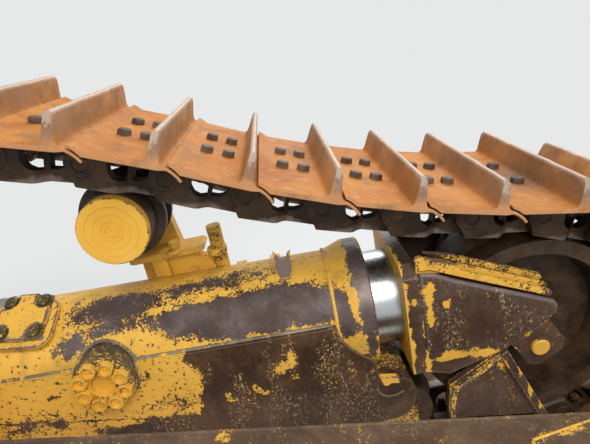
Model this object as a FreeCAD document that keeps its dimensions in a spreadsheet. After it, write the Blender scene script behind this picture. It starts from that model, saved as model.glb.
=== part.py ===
"""One side's crawler track unit of a large bulldozer, with the push arm that it carries.

The unit has a roller frame, a recoil tube whose piston carries the front idler's fork, eight track
rollers on four bogies, a carrier roller, a raised sprocket on its final drive and a closed track.
Millimetres. The origin is on the pivot shaft, in the middle of its seat. +X is the machine's
front, +Z is up, and the track's middle plane lies at y = -seat_offset, out from the machine.
In the helpers, an x and a z are taken from the pivot shaft and a y from the track's middle plane.
"""
import FreeCAD
import Part
import Sketcher
import math
import os

doc = FreeCAD.newDocument("TrackUnit")
Vector = FreeCAD.Vector

# Driving sizes: name, value in mm (a count or an angle in degrees where the name says so)
SIZES = (
    # track
    ("link_pitch", 215.9), ("link_count", 44), ("link_thick", 36), ("link_end", 44),
    ("chain_half", 135), ("pin_to_rail", 66), ("pin_to_seat", 70), ("pin_gap", 0.3),
    ("bushing_round", 33), ("shoe_width", 610), ("plate_thick", 14), ("grouser_tall", 78),
    ("grouser_root", 38), ("grouser_tip", 15), ("grouser_back", 28), ("lip_inside", 90.5),
    ("lip_outside", 97.5), ("tail_inside", 78.5), ("tail_outside", 86), ("shoe_phase", 18),
    # wheels of the track
    ("ground_drop", 640), ("rear_idler_x", -1210), ("idler_tread", 320), ("idler_flange", 346),
    ("idler_eye", 70), ("idler_hub_half", 112), ("idler_axle", 62), ("idler_web", 34),
    ("axle_plug", 28), ("carrier_x", 868), ("carrier_height", 1184),
    ("carrier_tread", 100), ("carrier_flange", 124), ("carrier_cap", 97), ("carrier_seat", 9.8),
    ("carrier_shaft", 41), ("cap_thick", 32),
    ("sprocket_x", -420), ("sprocket_height", 1405), ("sprocket_teeth", 25),
    ("segment_count", 5), ("segment_depth", 92), ("segment_thick", 76),
    ("sag_front", 3400), ("sag_rear", 7000), ("tread_gap", 0.3),
    ("roller_tread", 112), ("roller_flange", 128), ("roller_axle", 40), ("roller_count", 8),
    ("roller_clear", 445), ("bogie_cheek", 22),
    # roller frame and recoil tube, which leans a few degrees down to the front
    ("seat_offset", 470), ("pivot_shaft", 95), ("pivot_seat", 200), ("pivot_collar", 125),
    ("idler_room", 30), ("frame_roof", -168), ("frame_skirt", -262), ("frame_rear_top", 148),
    ("tube_round", 183), ("tube_height", 137), ("tube_lean", 2), ("tube_rear_x", 320),
    ("seam_height", 38), ("seam_step", 13), ("flange_round", 208), ("flange_long", 117),
    ("piston_round", 154), ("piston_gap", 0.3), ("piston_show", 89), ("piston_hidden", 395),
    ("boss_x", 720), ("boss_z", 121), ("boss_round", 87), ("boss_face", 237), ("boss_thick", 14),
    ("boss_socket", 34), ("lug_count", 8), ("lug_round", 19), ("lug_tall", 16), ("lug_circle", 69),
    ("cover_x", 490), ("cover_tilt", 30), ("cover_twist", -6), ("cover_half", 76),
    ("cover_thick", 20), ("cover_bolt", 15), ("pad_half", 94), ("pad_rise", 19),
    # front fork
    ("fork_reach", 399), ("fork_plate_thick", 44), ("fork_half", 200), ("fork_arm_thick", 50),
    ("fork_top", 270), ("fork_foot", -96),
    # brackets and drive on the machine's side
    ("ear_x", 1080), ("ear_gap", 100), ("ear_thick", 40), ("ear_out", 134), ("ear_wide", 120),
    ("ear_pin_z", 60), ("ear_pin", 38),
    ("drive_holes", 16), ("drive_hole_circle", 292), ("drive_hole", 13), ("drive_flange", 320),
    ("drive_face", 330), ("drive_round", 212),
    # push arm
    ("arm_inner", 420), ("arm_wide", 180), ("trunnion_x", 215), ("trunnion_height", 66),
    ("trunnion_pin", 70), ("running_gap", 0.1), ("arm_long", 2700), ("arm_drop", 470),
    ("arm_rear_deep", 300), ("arm_front_deep", 190), ("arm_eye", 45), ("arm_side_gap", 6),
    ("seam_gap", 0.3),
)

sheet = doc.addObject("Spreadsheet::Sheet", "Sizes")
for row, (name, value) in enumerate(SIZES, 1):
    sheet.set("A%d" % row, name)
    sheet.set("B%d" % row, str(value))
    sheet.setAlias("B%d" % row, name)
doc.recompute()


class Size:
    """A number with the text of the expression that it comes from."""

    def __init__(self, value, text):
        self.value = float(value)
        self.text = text

    @staticmethod
    def of(item):
        return item if isinstance(item, Size) else Size(item, "%.6f" % item)

    def __add__(self, other):
        other = Size.of(other)
        return Size(self.value + other.value, "(%s + %s)" % (self.text, other.text))

    def __sub__(self, other):
        other = Size.of(other)
        return Size(self.value - other.value, "(%s - %s)" % (self.text, other.text))

    def __mul__(self, other):
        other = Size.of(other)
        return Size(self.value * other.value, "(%s * %s)" % (self.text, other.text))

    def __truediv__(self, other):
        other = Size.of(other)
        return Size(self.value / other.value, "(%s / %s)" % (self.text, other.text))

    def __neg__(self):
        return Size(-self.value, "(0 - %s)" % self.text)

    __radd__ = __add__
    __rmul__ = __mul__

    def __rsub__(self, other):
        return Size.of(other) - self


class Sheet:
    """The sheet's cells by name, each as a Size."""

    def __getattr__(self, name):
        return Size(getattr(sheet, name), "Sizes." + name)


s = Sheet()
middle = -s.seat_offset


# Helpers: each makes one bound object of the document
def at(thing, x=0, y=0, z=0):
    """Put a thing's own zero at x, y, z, with y from the track's middle plane."""
    for axis, size in (("x", Size.of(x)), ("y", middle + y), ("z", Size.of(z))):
        thing.setExpression("Placement.Base." + axis, size.text)
    thing.Placement.Base = Vector(Size.of(x).value, (middle + y).value, Size.of(z).value)
    return thing


lean = math.radians(s.tube_lean.value)
lean_cos = Size(math.cos(lean), "cos(Sizes.tube_lean * 1deg)")
lean_sin = Size(math.sin(lean), "sin(Sizes.tube_lean * 1deg)")


def leaning(thing, along=0, y=0, up=0):
    """Put a thing by the recoil tube's own axis: along it from above the pivot, and up from it."""
    own_turn = thing.Placement.Rotation
    at(thing, lean_cos * along + lean_sin * up, y, s.tube_height + lean_cos * up - lean_sin * along)
    thing.Placement.Rotation = FreeCAD.Rotation(Vector(0, 1, 0), s.tube_lean.value).multiply(own_turn)
    return thing


def sketch_on(body, role):
    plane = [face for face in body.Origin.OriginFeatures if face.Role == role][0]
    sketch = body.newObject("Sketcher::SketchObject", "Outline")
    sketch.AttachmentSupport = [(plane, "")]
    sketch.MapMode = "FlatFace"
    return sketch


def bound(sketch, kind, *where):
    """Add a constraint whose last word is a Size, and bind it."""
    size = Size.of(where[-1])
    number = sketch.addConstraint(Sketcher.Constraint(kind, *where[:-1], size.value))
    sketch.setExpression("Constraints[%d]" % number, size.text)


def polygon(sketch, corners):
    """A closed outline of straight lines, with both distances of each corner bound."""
    points = [Vector(Size.of(a).value, Size.of(b).value, 0) for a, b in corners]
    count = len(points)
    lines = [Part.LineSegment(points[i], points[(i + 1) % count]) for i in range(count)]
    first = sketch.addGeometry(lines, False)[0]
    joints = [Sketcher.Constraint("Coincident", first + i, 2, first + (i + 1) % count, 1)
              for i in range(count)]
    sketch.addConstraint(joints)
    for i, (a, b) in enumerate(corners):
        bound(sketch, "DistanceX", -1, 1, first + i, 1, a)
        bound(sketch, "DistanceY", -1, 1, first + i, 1, b)


def circle(sketch, a, b, radius):
    centre = Vector(Size.of(a).value, Size.of(b).value, 0)
    ring = sketch.addGeometry(Part.Circle(centre, Vector(0, 0, 1), Size.of(radius).value), False)
    bound(sketch, "DistanceX", -1, 1, ring, 3, a)
    bound(sketch, "DistanceY", -1, 1, ring, 3, b)
    bound(sketch, "Radius", ring, radius)


def turned(label, profile, x=0, y=0, z=0, about="V_Axis"):
    """A body turned from half its section: (radius, y) about Y, or (x, radius) about X."""
    body = doc.addObject("PartDesign::Body", label)
    sketch = sketch_on(body, "XY_Plane")
    polygon(sketch, profile)
    turn = body.newObject("PartDesign::Revolution", label + "_turn")
    turn.Profile = sketch
    turn.ReferenceAxis = (sketch, [about])
    turn.Angle = 360
    return at(body, x, y, z)


def plate(label, corners, low, high, x=0, z=0, holes=()):
    """A side view's outline (x, z) cut out of plate from y = low to y = high, with round holes."""
    body = doc.addObject("PartDesign::Body", label)
    sketch = sketch_on(body, "XZ_Plane")
    polygon(sketch, corners)
    for a, b, radius in holes:
        circle(sketch, a, b, radius)
    pad = body.newObject("PartDesign::Pad", label + "_pad")
    pad.Profile = sketch
    thick = Size.of(high) - low
    pad.Length = thick.value
    pad.setExpression("Length", thick.text)
    return at(body, x, high, z)


def slab(label, corners, low, high, holes=()):
    """A front view's outline (y, z) cut out of plate from x = low to x = high."""
    body = doc.addObject("PartDesign::Body", label)
    sketch = sketch_on(body, "YZ_Plane")
    polygon(sketch, corners)
    for a, b, radius in holes:
        circle(sketch, a, b, radius)
    pad = body.newObject("PartDesign::Pad", label + "_pad")
    pad.Profile = sketch
    thick = Size.of(high) - low
    pad.Length = thick.value
    pad.setExpression("Length", thick.text)
    return at(body, low)


def box(label, x, y, z):
    """A block from a low to a high corner, each given as (low, high)."""
    block = doc.addObject("Part::Box", label)
    for word, (low, high) in (("Length", x), ("Width", y), ("Height", z)):
        span = Size.of(high) - low
        setattr(block, word, span.value)
        block.setExpression(word, span.text)
    return at(block, x[0], y[0], z[0])


def rod(label, radius, low, high, x=0, z=0, along="y", y=0):
    """A round bar from low to high along Y, or along X or Z through the other two places."""
    bar = doc.addObject("Part::Cylinder", label)
    span = Size.of(high) - low
    for word, size in (("Radius", Size.of(radius)), ("Height", span)):
        setattr(bar, word, size.value)
        bar.setExpression(word, size.text)
    if along == "y":
        at(bar, x, low, z)
        bar.Placement.Rotation = FreeCAD.Rotation(Vector(1, 0, 0), -90)
    elif along == "x":
        at(bar, low, y, z)
        bar.Placement.Rotation = FreeCAD.Rotation(Vector(0, 1, 0), 90)
    else:
        at(bar, x, y, low)
    return bar


def fused(label, *things):
    whole = doc.addObject("Part::MultiFuse", label)
    whole.Shapes = list(things)
    whole.Refine = True
    return whole


def cut(label, base, *tools):
    rest = doc.addObject("Part::Cut", label)
    rest.Base = base
    rest.Tool = tools[0] if len(tools) == 1 else fused(label + "_tools", *tools)
    rest.Refine = True
    return rest


def mirrored(label, thing):
    """The same piece on the other side of the track's middle plane."""
    other = doc.addObject("Part::Mirroring", label)
    other.Source = thing
    other.Normal = Vector(0, 1, 0)
    other.Base = Vector(0, middle.value, 0)
    other.setExpression("Base.y", middle.text)
    return other


def together(label, *things):
    """Several separate solids that share one node."""
    group = doc.addObject("Part::Compound", label)
    group.Links = list(things)
    return group


def made(label, shape):
    """A piece whose shape comes from Part's own functions."""
    piece = doc.addObject("Part::Feature", label)
    piece.Shape = shape
    return at(piece)


nodes = []


def keep(*things):
    nodes.extend(things)


# Route of the track's pins: round the four wheels, sagging over the carrier roller
pitch = s.link_pitch.value
pin_to_ground = s.pin_to_seat + s.plate_thick + s.grouser_tall
idler_pin_round = math.hypot((s.idler_tread + s.pin_to_rail + s.tread_gap).value, pitch / 2)
wheel_height = idler_pin_round + (pin_to_ground - s.ground_drop).value
sprocket_pin_round = pitch / (2 * math.sin(2 * math.pi / s.sprocket_teeth.value))
carrier_pin_round = (s.carrier_tread + s.pin_to_rail + s.carrier_seat).value
carrier_z = s.carrier_height - s.ground_drop
sprocket_z = s.sprocket_height - s.ground_drop


def arc(centre, start, end, turn):
    radius = math.hypot(start[0] - centre[0], start[1] - centre[1])
    first = math.atan2(start[1] - centre[1], start[0] - centre[0])
    last = math.atan2(end[1] - centre[1], end[0] - centre[0])
    swept = (last - first) % (2 * math.pi)
    if turn < 0:
        swept -= 2 * math.pi
    return centre, radius, first, swept


def run_point(stretch, along):
    if len(stretch) == 2:
        start, end = stretch
        share = along / math.dist(start, end)
        return (start[0] + (end[0] - start[0]) * share, start[1] + (end[1] - start[1]) * share)
    centre, radius, first, swept = stretch
    angle = first + math.copysign(along / radius, swept)
    return centre[0] + radius * math.cos(angle), centre[1] + radius * math.sin(angle)


def run_length(stretch):
    return math.dist(*stretch) if len(stretch) == 2 else stretch[1] * abs(stretch[3])


def taut(wheel, following):
    """The straight run that leaves one wheel and meets the next, on the outside of both."""
    gap = math.dist(wheel[:2], following[:2])
    heading = math.atan2(following[1] - wheel[1], following[0] - wheel[0])
    angle = heading + math.acos((wheel[2] - following[2]) / gap)
    return tuple((w[0] + w[2] * math.cos(angle), w[1] + w[2] * math.sin(angle))
                 for w in (wheel, following))


def sagging(wheel, following, radius):
    """The hanging run between two wheels: an arc curved up, tangent to both from outside."""
    gap = math.dist(wheel[:2], following[:2])
    far, near = radius + wheel[2], radius + following[2]
    along = (far * far - near * near + gap * gap) / (2 * gap)
    above = math.sqrt(far * far - along * along)
    ux, uz = (following[0] - wheel[0]) / gap, (following[1] - wheel[1]) / gap
    centre = (wheel[0] + ux * along - uz * above, wheel[1] + uz * along + ux * above)
    ends = [tuple(w[i] + (centre[i] - w[i]) * w[2] / reach for i in (0, 1))
            for w, reach in ((wheel, far), (following, near))]
    return centre, ends[0], ends[1]


def track_route(front_x):
    """The stretches that the pins follow, in the order sprocket, carrier, front and rear idler."""
    front = (front_x, wheel_height, idler_pin_round)
    rear = (s.rear_idler_x.value, wheel_height, idler_pin_round)
    carrier = (s.carrier_x.value, carrier_z.value, carrier_pin_round)
    sprocket = (s.sprocket_x.value, sprocket_z.value, sprocket_pin_round)
    rear_sag, off_sprocket, on_carrier = sagging(sprocket, carrier, s.sag_rear.value)
    front_sag, off_carrier, on_front = sagging(carrier, front, s.sag_front.value)
    lower = taut(front, rear)
    rising = taut(rear, sprocket)
    return (arc(sprocket[:2], rising[1], off_sprocket, -1), arc(rear_sag, off_sprocket, on_carrier, 1),
            arc(carrier[:2], on_carrier, off_carrier, -1), arc(front_sag, off_carrier, on_front, 1),
            arc(front[:2], on_front, lower[0], -1), lower,
            arc(rear[:2], lower[1], rising[0], -1), rising)


def pins_along(route):
    """Pins one pitch apart, and how far along the route the last one lies from the first."""
    total = sum(run_length(stretch) for stretch in route)

    def point(along):
        along %= total
        for stretch in route:
            if along <= run_length(stretch):
                return run_point(stretch, along)
            along -= run_length(stretch)
        return run_point(route[0], 0)

    along = -s.shoe_phase.value
    pins = [point(along)]
    for _ in range(int(s.link_count.value)):
        low, high = along + pitch * 0.9, along + pitch * 1.25
        for _ in range(45):
            step = (low + high) / 2
            if math.dist(point(step), pins[-1]) < pitch:
                low = step
            else:
                high = step
        along = high
        pins.append(point(along))
    return pins, along + s.shoe_phase.value - total


def take_up():
    """The front idler's place that closes the track with its whole count of links."""
    low, high = 1400.0, 2600.0
    for _ in range(45):
        front_x = (low + high) / 2
        spare = pins_along(track_route(front_x))[1]
        if spare > 0:
            low = front_x
        else:
            high = front_x
    return front_x


front_x = take_up()
fork_plate_x = front_x - s.fork_reach
tube_front_x = fork_plate_x - s.piston_show
piston_rear_x = tube_front_x - s.piston_hidden
frame_nose_x = fork_plate_x + 4
frame_half = s.tube_round + s.seam_step
pins = pins_along(track_route(front_x))[0]


def on_pins(shape):
    """A copy of a link's piece at each pair of pins: its x runs along the link, z out of the loop."""
    copies = []
    for start, end in zip(pins[:-1], pins[1:]):
        piece = shape.copy()
        angle = math.atan2(end[1] - start[1], end[0] - start[0])
        middle_of = Vector((start[0] + end[0]) / 2, 0, (start[1] + end[1]) / 2)
        turn = FreeCAD.Rotation(Vector(0, 1, 0), -math.degrees(angle))
        piece.Placement = FreeCAD.Placement(middle_of, turn)
        copies.append(piece)
    return Part.makeCompound(copies)


def prism(corners, low, high):
    """A side outline (x, z) as a solid from y = low to y = high."""
    points = [Vector(a, low, b) for a, b in corners]
    return Part.Face(Part.makePolygon(points + points[:1])).extrude(Vector(0, high - low, 0))


# Track shoes: a plate with one tall tapering bar, a curled rear lip and a thin tail. Lip and tail
# lie round the pins, so that each tail can slide under the next shoe's lip.
half_pitch = pitch / 2
plate_top = (s.pin_to_seat + s.plate_thick).value
seat = s.pin_to_seat.value
tip = pin_to_ground.value
bar_back = half_pitch - s.grouser_back.value
bar_front = bar_back + s.grouser_root.value
tip_front = bar_front - 12


def round_pin(pin_x, radius, degrees):
    """A place in the shoe's side view, at a radius and an angle round one of its link's pins."""
    angle = math.radians(degrees)
    return pin_x + radius.value * math.cos(angle), radius.value * math.sin(angle)


shoe_side = (
    round_pin(-half_pitch, s.lip_inside, 75), (54 - half_pitch, seat), (bar_front - 6, seat),
    round_pin(half_pitch, s.tail_inside, 50), round_pin(half_pitch, s.tail_outside, 50),
    round_pin(half_pitch, s.tail_outside, 83), (tip_front, tip),
    (tip_front - s.grouser_tip.value, tip), (bar_back, plate_top), (52 - half_pitch, plate_top),
    round_pin(-half_pitch, s.lip_outside, 77),
)
shoe = prism(shoe_side, -s.shoe_width.value / 2, s.shoe_width.value / 2)
keep(made("track_shoes", on_pins(shoe)))

# Chain links: forged bars that step inwards, so each one's front end runs inside the next one's rear
reach = half_pitch + s.link_end.value
step_in = (s.link_thick + s.pin_gap).value
outer_face = s.chain_half.value
thick = s.link_thick.value
link_side = (
    (-half_pitch + 4, -s.pin_to_rail.value), (half_pitch - 4, -s.pin_to_rail.value), (reach, 0),
    (half_pitch - 40, seat), (-20, seat), (-reach, 20), (-reach, -22),
)
step_back, step_front = -20.0, 20.0
link_plan = (
    (-reach, outer_face), (step_back, outer_face), (step_front, outer_face - step_in),
    (reach, outer_face - step_in), (reach, outer_face - step_in - thick),
    (step_front, outer_face - step_in - thick), (step_back, outer_face - thick),
    (-reach, outer_face - thick),
)
plan_points = [Vector(a, b, -seat * 2) for a, b in link_plan]
link_plan_solid = Part.Face(Part.makePolygon(plan_points + plan_points[:1])).extrude(
    Vector(0, 0, seat * 4))
link = prism(link_side, 0, outer_face * 2).common(link_plan_solid).removeSplitter()
other_link = link.mirror(Vector(0, 0, 0), Vector(0, 1, 0))
keep(made("track_links_inner", on_pins(link)), made("track_links_outer", on_pins(other_link)))

# Bushings between the two chains, round which the sprocket's teeth work
bushing_half = outer_face - step_in - thick - s.pin_gap.value
bushing_round = s.bushing_round.value
BUSHING_SIDES = 5
bushing_corners = []
for number in range(BUSHING_SIDES):
    angle = 2 * math.pi / BUSHING_SIDES * number
    bushing_corners.append((half_pitch + bushing_round * math.cos(angle),
                            bushing_round * math.sin(angle)))
keep(made("track_bushings", on_pins(prism(bushing_corners, -bushing_half, bushing_half))))


# Idlers: a cast wheel whose middle flange runs between the chains
def idler(label, x):
    rail_side = s.chain_half - 3
    hub_half = s.idler_hub_half
    web = s.idler_web
    flange_side = s.chain_half - s.link_thick * 2 - 13
    rim = s.idler_tread - 46
    hub = s.idler_eye + 52
    half = (
        (s.idler_eye, -hub_half), (s.idler_eye, hub_half), (hub, hub_half), (hub + 14, web),
        (rim - 20, web), (rim, rail_side), (s.idler_tread, rail_side), (s.idler_tread, flange_side),
        (s.idler_flange, flange_side), (s.idler_flange, -flange_side), (s.idler_tread, -flange_side),
        (s.idler_tread, -rail_side), (rim, -rail_side), (rim - 20, -web), (hub + 14, -web),
        (hub, -hub_half),
    )
    return turned(label, half, x, 0, wheel_height)


keep(idler("front_idler", front_x), idler("rear_idler", s.rear_idler_x))


# Idler axles with the bearing blocks on their ends
cheek_inner = s.fork_half - s.fork_arm_thick


def axle_set(label, x, corners, block_low, block_high):
    """A fixed axle through the idler's eye, with a block and a round plug at each end."""
    axle = rod(label + "_bar", s.idler_axle, -cheek_inner, cheek_inner, x, wheel_height)
    block = plate(label + "_block", corners, block_low, block_high, x, wheel_height)
    dome = rod(label + "_dome", s.axle_plug, block_high - 1, block_high + 7, x, wheel_height)
    near = fused(label + "_near", block, dome)
    return fused(label, axle, near, mirrored(label + "_far", near))


# The front block is square and lies along the slanting lower edge of the fork's arm
slant = math.atan2(95, 154)
front_block = [(a * math.cos(slant) + b * math.sin(slant), a * math.sin(slant) - b * math.cos(slant))
               for a, b in ((-66, -65.1), (66, -65.1), (66, 34), (40, 60), (-40, 60), (-66, 34))]
rear_block = ((-74, -66), (50, -66), (74, -42), (74, 42), (50, 66), (-74, 66))
keep(axle_set("front_idler_axle", front_x, front_block, s.idler_hub_half + 0.3, s.fork_half + 4),
     axle_set("rear_idler_axle", s.rear_idler_x, rear_block, s.idler_hub_half + 0.3, cheek_inner - 0.3))

# Track rollers, two to a bogie, on the lower run
rail_height = (pin_to_ground - s.ground_drop + s.pin_to_rail).value
roller_z = rail_height + s.roller_tread + s.tread_gap
roller_first_x = s.rear_idler_x + s.roller_clear
roller_step = (front_x - s.roller_clear - roller_first_x) / (s.roller_count - 1)
roller_side = s.chain_half - 2
for number in range(int(s.roller_count.value)):
    spot = roller_first_x + roller_step * number
    shell = (
        (s.roller_axle + 1, -roller_side), (s.roller_axle + 1, roller_side),
        (s.roller_tread, roller_side), (s.roller_tread, 52), (s.roller_flange, 52),
        (s.roller_flange, 32), (s.roller_tread - 14, 32), (s.roller_tread - 14, -32),
        (s.roller_flange, -32), (s.roller_flange, -52), (s.roller_tread, -52),
        (s.roller_tread, -roller_side),
    )
    keep(turned("track_roller_%d" % (number + 1), shell, spot, 0, roller_z))

# Bogies: two rocker cheeks on the ends of two roller axles, hung from a pin under the frame
cheek_low = s.chain_half + 2
cheek_high = cheek_low + s.bogie_cheek
skirt_inner = cheek_high + 1
bogie_pin_z = s.frame_skirt + 34
for number in range(int(s.roller_count.value) // 2):
    name = "bogie_%d" % (number + 1)
    left = roller_first_x + roller_step * (2 * number)
    span = roller_step
    cheek_side = (
        (-56, -34), (-34, -56), (34, -56), (62, -20), (span - 62, -20), (span - 34, -56),
        (span + 34, -56), (span + 56, -34), (span + 56, 20), (span / 2 + 64, 92),
        (span / 2 - 64, 92), (-56, 20),
    )
    cheek = plate(name + "_cheek", cheek_side, cheek_low, cheek_high, left, roller_z)
    axles = [rod("%s_axle_%d" % (name, i), s.roller_axle, -cheek_high, cheek_high,
                 left + span * i, roller_z) for i in (0, 1)]
    keep(fused(name, cheek, mirrored(name + "_cheek_far", cheek), *axles))

# Carrier roller under the upper run, with its round end cap
carrier_half = s.chain_half - 2
carrier_back = carrier_half + 17
carrier_shell = (
    (s.carrier_shaft + 1, -carrier_half), (s.carrier_shaft + 1, carrier_back),
    (s.carrier_tread - 12, carrier_back), (s.carrier_tread - 12, carrier_half),
    (s.carrier_tread, carrier_half), (s.carrier_tread, 54), (s.carrier_flange, 54),
    (s.carrier_flange, 32), (s.carrier_tread - 18, 32), (s.carrier_tread - 18, -32),
    (s.carrier_flange, -32), (s.carrier_flange, -54), (s.carrier_tread, -54),
    (s.carrier_tread, -carrier_half),
)
keep(turned("carrier_roller", carrier_shell, s.carrier_x, 0, carrier_z))
cap_back = -carrier_half - 0.3
cap_face = cap_back - s.cap_thick
cap_profile = (
    (0, cap_face), (8, cap_face), (12, cap_face + 6), (s.carrier_cap - 34, cap_face + 6),
    (s.carrier_cap - 34, cap_face + 3), (s.carrier_cap - 4, cap_face + 3),
    (s.carrier_cap, cap_face + 8), (s.carrier_cap, cap_back), (0, cap_back),
)
keep(turned("carrier_cap", cap_profile, s.carrier_x, 0, carrier_z))

# Carrier bracket: an upright plate behind the roller, with a shelf, a web and a post under it
tube_tool = leaning(rod("tube_room", s.tube_round + s.seam_gap, s.tube_rear_x - 0.3,
                        tube_front_x - s.flange_long, 0, 0, "x"), s.tube_rear_x - 0.3)
stand_back = carrier_back + 8
stand_front = stand_back + 48
seam_at_carrier = s.tube_height + s.seam_height - lean_sin / lean_cos * (s.carrier_x - 70)
carrier_bar = rod("carrier_shaft_bar", s.carrier_shaft, -carrier_half + 2, stand_front + 24,
                  s.carrier_x, carrier_z)
post_side = (
    (-70, seam_at_carrier + s.seam_gap), (110, seam_at_carrier + s.seam_gap), (62, carrier_z - 20),
    (62, carrier_z + 40), (34, carrier_z + 66), (-34, carrier_z + 66), (-62, carrier_z + 40),
    (-62, carrier_z - 20),
)
carrier_post = plate("carrier_post", post_side, stand_back, stand_front, s.carrier_x)
shelf_z = carrier_z - s.carrier_flange - 70
shelf_y = stand_back - 92
shelf_side = ((-74, -8), (-60, -12), (150, -12), (176, -4), (168, 8), (-74, 8))
carrier_shelf = plate("carrier_shelf", shelf_side, shelf_y, stand_back + 2, s.carrier_x, shelf_z)
carrier_web = box("carrier_web", (s.carrier_x - 6, s.carrier_x + 44), (shelf_y + 6, stand_back + 2),
                  (shelf_z - 200, shelf_z))
carrier_block = box("carrier_block", (s.carrier_x + 44, s.carrier_x + 150),
                    (shelf_y + 34, stand_back + 2), (shelf_z - 200, shelf_z - 20))
shelf_bolt = rod("shelf_bolt", 18, shelf_z, shelf_z + 34, s.carrier_x + 78, 0, "z", shelf_y + 26)
side_post = rod("side_post", 24, shelf_z - 200, shelf_z + 56, s.carrier_x + 214, 0, "z",
                shelf_y + 44)
side_tie = box("side_tie", (s.carrier_x + 140, s.carrier_x + 208), (shelf_y + 34, shelf_y + 64),
               (shelf_z - 200, shelf_z - 40))
carrier_stand = fused("carrier_stand", carrier_bar, carrier_post, carrier_shelf, carrier_web,
                      carrier_block, shelf_bolt, side_post, side_tie)
keep(cut("carrier_bracket", carrier_stand, tube_tool))

# Recoil tube: a heavy pipe, closed at the rear, with a flaring bored flange at its mouth
bore = s.piston_round + s.piston_gap
pocket_x = piston_rear_x - 20
flange_edge = tube_front_x - s.flange_long * 0.42
tube_profile = (
    (s.tube_rear_x, 0), (s.tube_rear_x, s.tube_round - 40), (s.tube_rear_x + 40, s.tube_round),
    (tube_front_x - s.flange_long, s.tube_round), (flange_edge, s.flange_round),
    (tube_front_x, s.flange_round), (tube_front_x, bore), (pocket_x, bore), (pocket_x, 0),
)
tube = leaning(turned("recoil_pipe", tube_profile, 0, 0, 0, "H_Axis"))
boss_back = -s.boss_face + s.boss_thick
boss_bar = rod("boss_root", s.boss_round + 4, boss_back, -s.tube_round + 50, s.boss_x, s.boss_z)
keep(fused("recoil_tube", tube, boss_bar))
piston_profile = (
    (piston_rear_x, 0), (piston_rear_x, s.piston_round), (fork_plate_x + 20, s.piston_round),
    (fork_plate_x + 20, 0),
)
piston_blank = leaning(turned("piston_blank", piston_profile, 0, 0, 0, "H_Axis"))
plate_room = box("piston_end_room", (fork_plate_x - s.seam_gap, fork_plate_x + 60),
                 (-s.tube_round, s.tube_round), (-s.tube_round, s.tube_height + s.tube_round))
keep(cut("recoil_piston", piston_blank, plate_room))

# Round cap on the tube's side boss, with a ring of lugs round its socket
boss_front = boss_back - s.seam_gap
boss_ring = turned("boss_ring", ((s.boss_socket, -s.boss_face), (s.boss_socket, boss_front),
                                 (s.boss_round, boss_front), (s.boss_round, -s.boss_face)),
                   s.boss_x, 0, s.boss_z)
lugs = []
for number in range(int(s.lug_count.value)):
    angle = 2 * math.pi / s.lug_count.value * number
    lug_x = s.boss_x + s.lug_circle * math.cos(angle)
    lug_z = s.boss_z + s.lug_circle * math.sin(angle)
    lugs.append(rod("boss_lug_%d" % (number + 1), s.lug_round, -s.boss_face - s.lug_tall,
                    -s.boss_face, lug_x, lug_z))
keep(fused("boss_cap", boss_ring, *lugs))

# Inspection cover: an eight-sided plate with four bolts, on a raised pad on the tube's upper side
tilt = math.radians(s.cover_tilt.value)
tilt_cos = Size(math.cos(tilt), "cos(Sizes.cover_tilt * 1deg)")
tilt_sin = Size(math.sin(tilt), "sin(Sizes.cover_tilt * 1deg)")
pad_top = s.tube_round + s.pad_rise


def on_tube(label, outline, low, high):
    """A flat outline raised from low to high over the tube's axis, square to the tilted pad."""
    body = doc.addObject("PartDesign::Body", label)
    sketch = sketch_on(body, "XY_Plane")
    polygon(sketch, outline)
    pad = body.newObject("PartDesign::Pad", label + "_pad")
    pad.Profile = sketch
    thick = Size.of(high) - low
    pad.Length = thick.value
    pad.setExpression("Length", thick.text)
    return tilted(body, low)


def tilted(thing, low, a=0, b=0):
    """Put a thing on the cover's own axes: a along the tube, b up its side, low over its axis."""
    twist = math.radians(s.cover_twist.value)
    along = a * math.cos(twist) - b * math.sin(twist)
    across = a * math.sin(twist) + b * math.cos(twist) + 16
    turn = FreeCAD.Rotation(Vector(1, 0, 0), s.cover_tilt.value).multiply(
        FreeCAD.Rotation(Vector(0, 0, 1), s.cover_twist.value))
    thing.Placement.Rotation = turn
    return leaning(thing, s.cover_x + along, tilt_cos * across - tilt_sin * low,
                   tilt_sin * across + tilt_cos * low)


pad_half = s.pad_half
corner = s.pad_half * 0.4
pad_plan = ((-pad_half, corner - pad_half), (corner - pad_half, -pad_half),
            (pad_half - corner, -pad_half), (pad_half, corner - pad_half),
            (pad_half, pad_half - corner - 26), (pad_half - corner, pad_half - 26),
            (corner - pad_half, pad_half - 26), (-pad_half, pad_half - corner - 26))
cover_pad = on_tube("cover_pad_block", pad_plan, s.tube_round - 80, pad_top)
pad_tool = leaning(rod("cover_saddle", s.tube_round + s.seam_gap, s.tube_rear_x - 200,
                       tube_front_x, 0, 0, "x"), s.tube_rear_x - 200)
keep(cut("cover_pad", cover_pad, pad_tool))
half = s.cover_half
snip = s.cover_half * 0.42
cover_plan = ((-half, snip - half), (snip - half, -half), (half - snip, -half), (half, snip - half),
              (half, half - snip), (half - snip, half), (snip - half, half), (-half, half - snip))
cover_low = pad_top + s.seam_gap
cover = on_tube("cover_body", cover_plan, cover_low, cover_low + s.cover_thick)
bolt_at = s.cover_half - 28
cover_bolts = [tilted(rod("cover_bolt_%d" % (i + 1), s.cover_bolt, 0, s.cover_thick + 13, 0, 0, "z"),
                      cover_low, bolt_at * a, bolt_at * b)
               for i, (a, b) in enumerate(((-1, -1), (1, -1), (1, 1), (-1, 1)))]
keep(fused("inspection_cover", cover, *cover_bolts))

# Roller frame: a welded box under the tube, with skirts over the bogies and a cradle up to the seam
frame_rear = s.rear_idler_x + s.idler_flange + s.idler_room


def seam_z(x, up=0):
    """Height of the seam between tube and cradle at x: the tube leans and the seam with it."""
    return s.tube_height + s.seam_height + up - lean_sin / lean_cos * x


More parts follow.
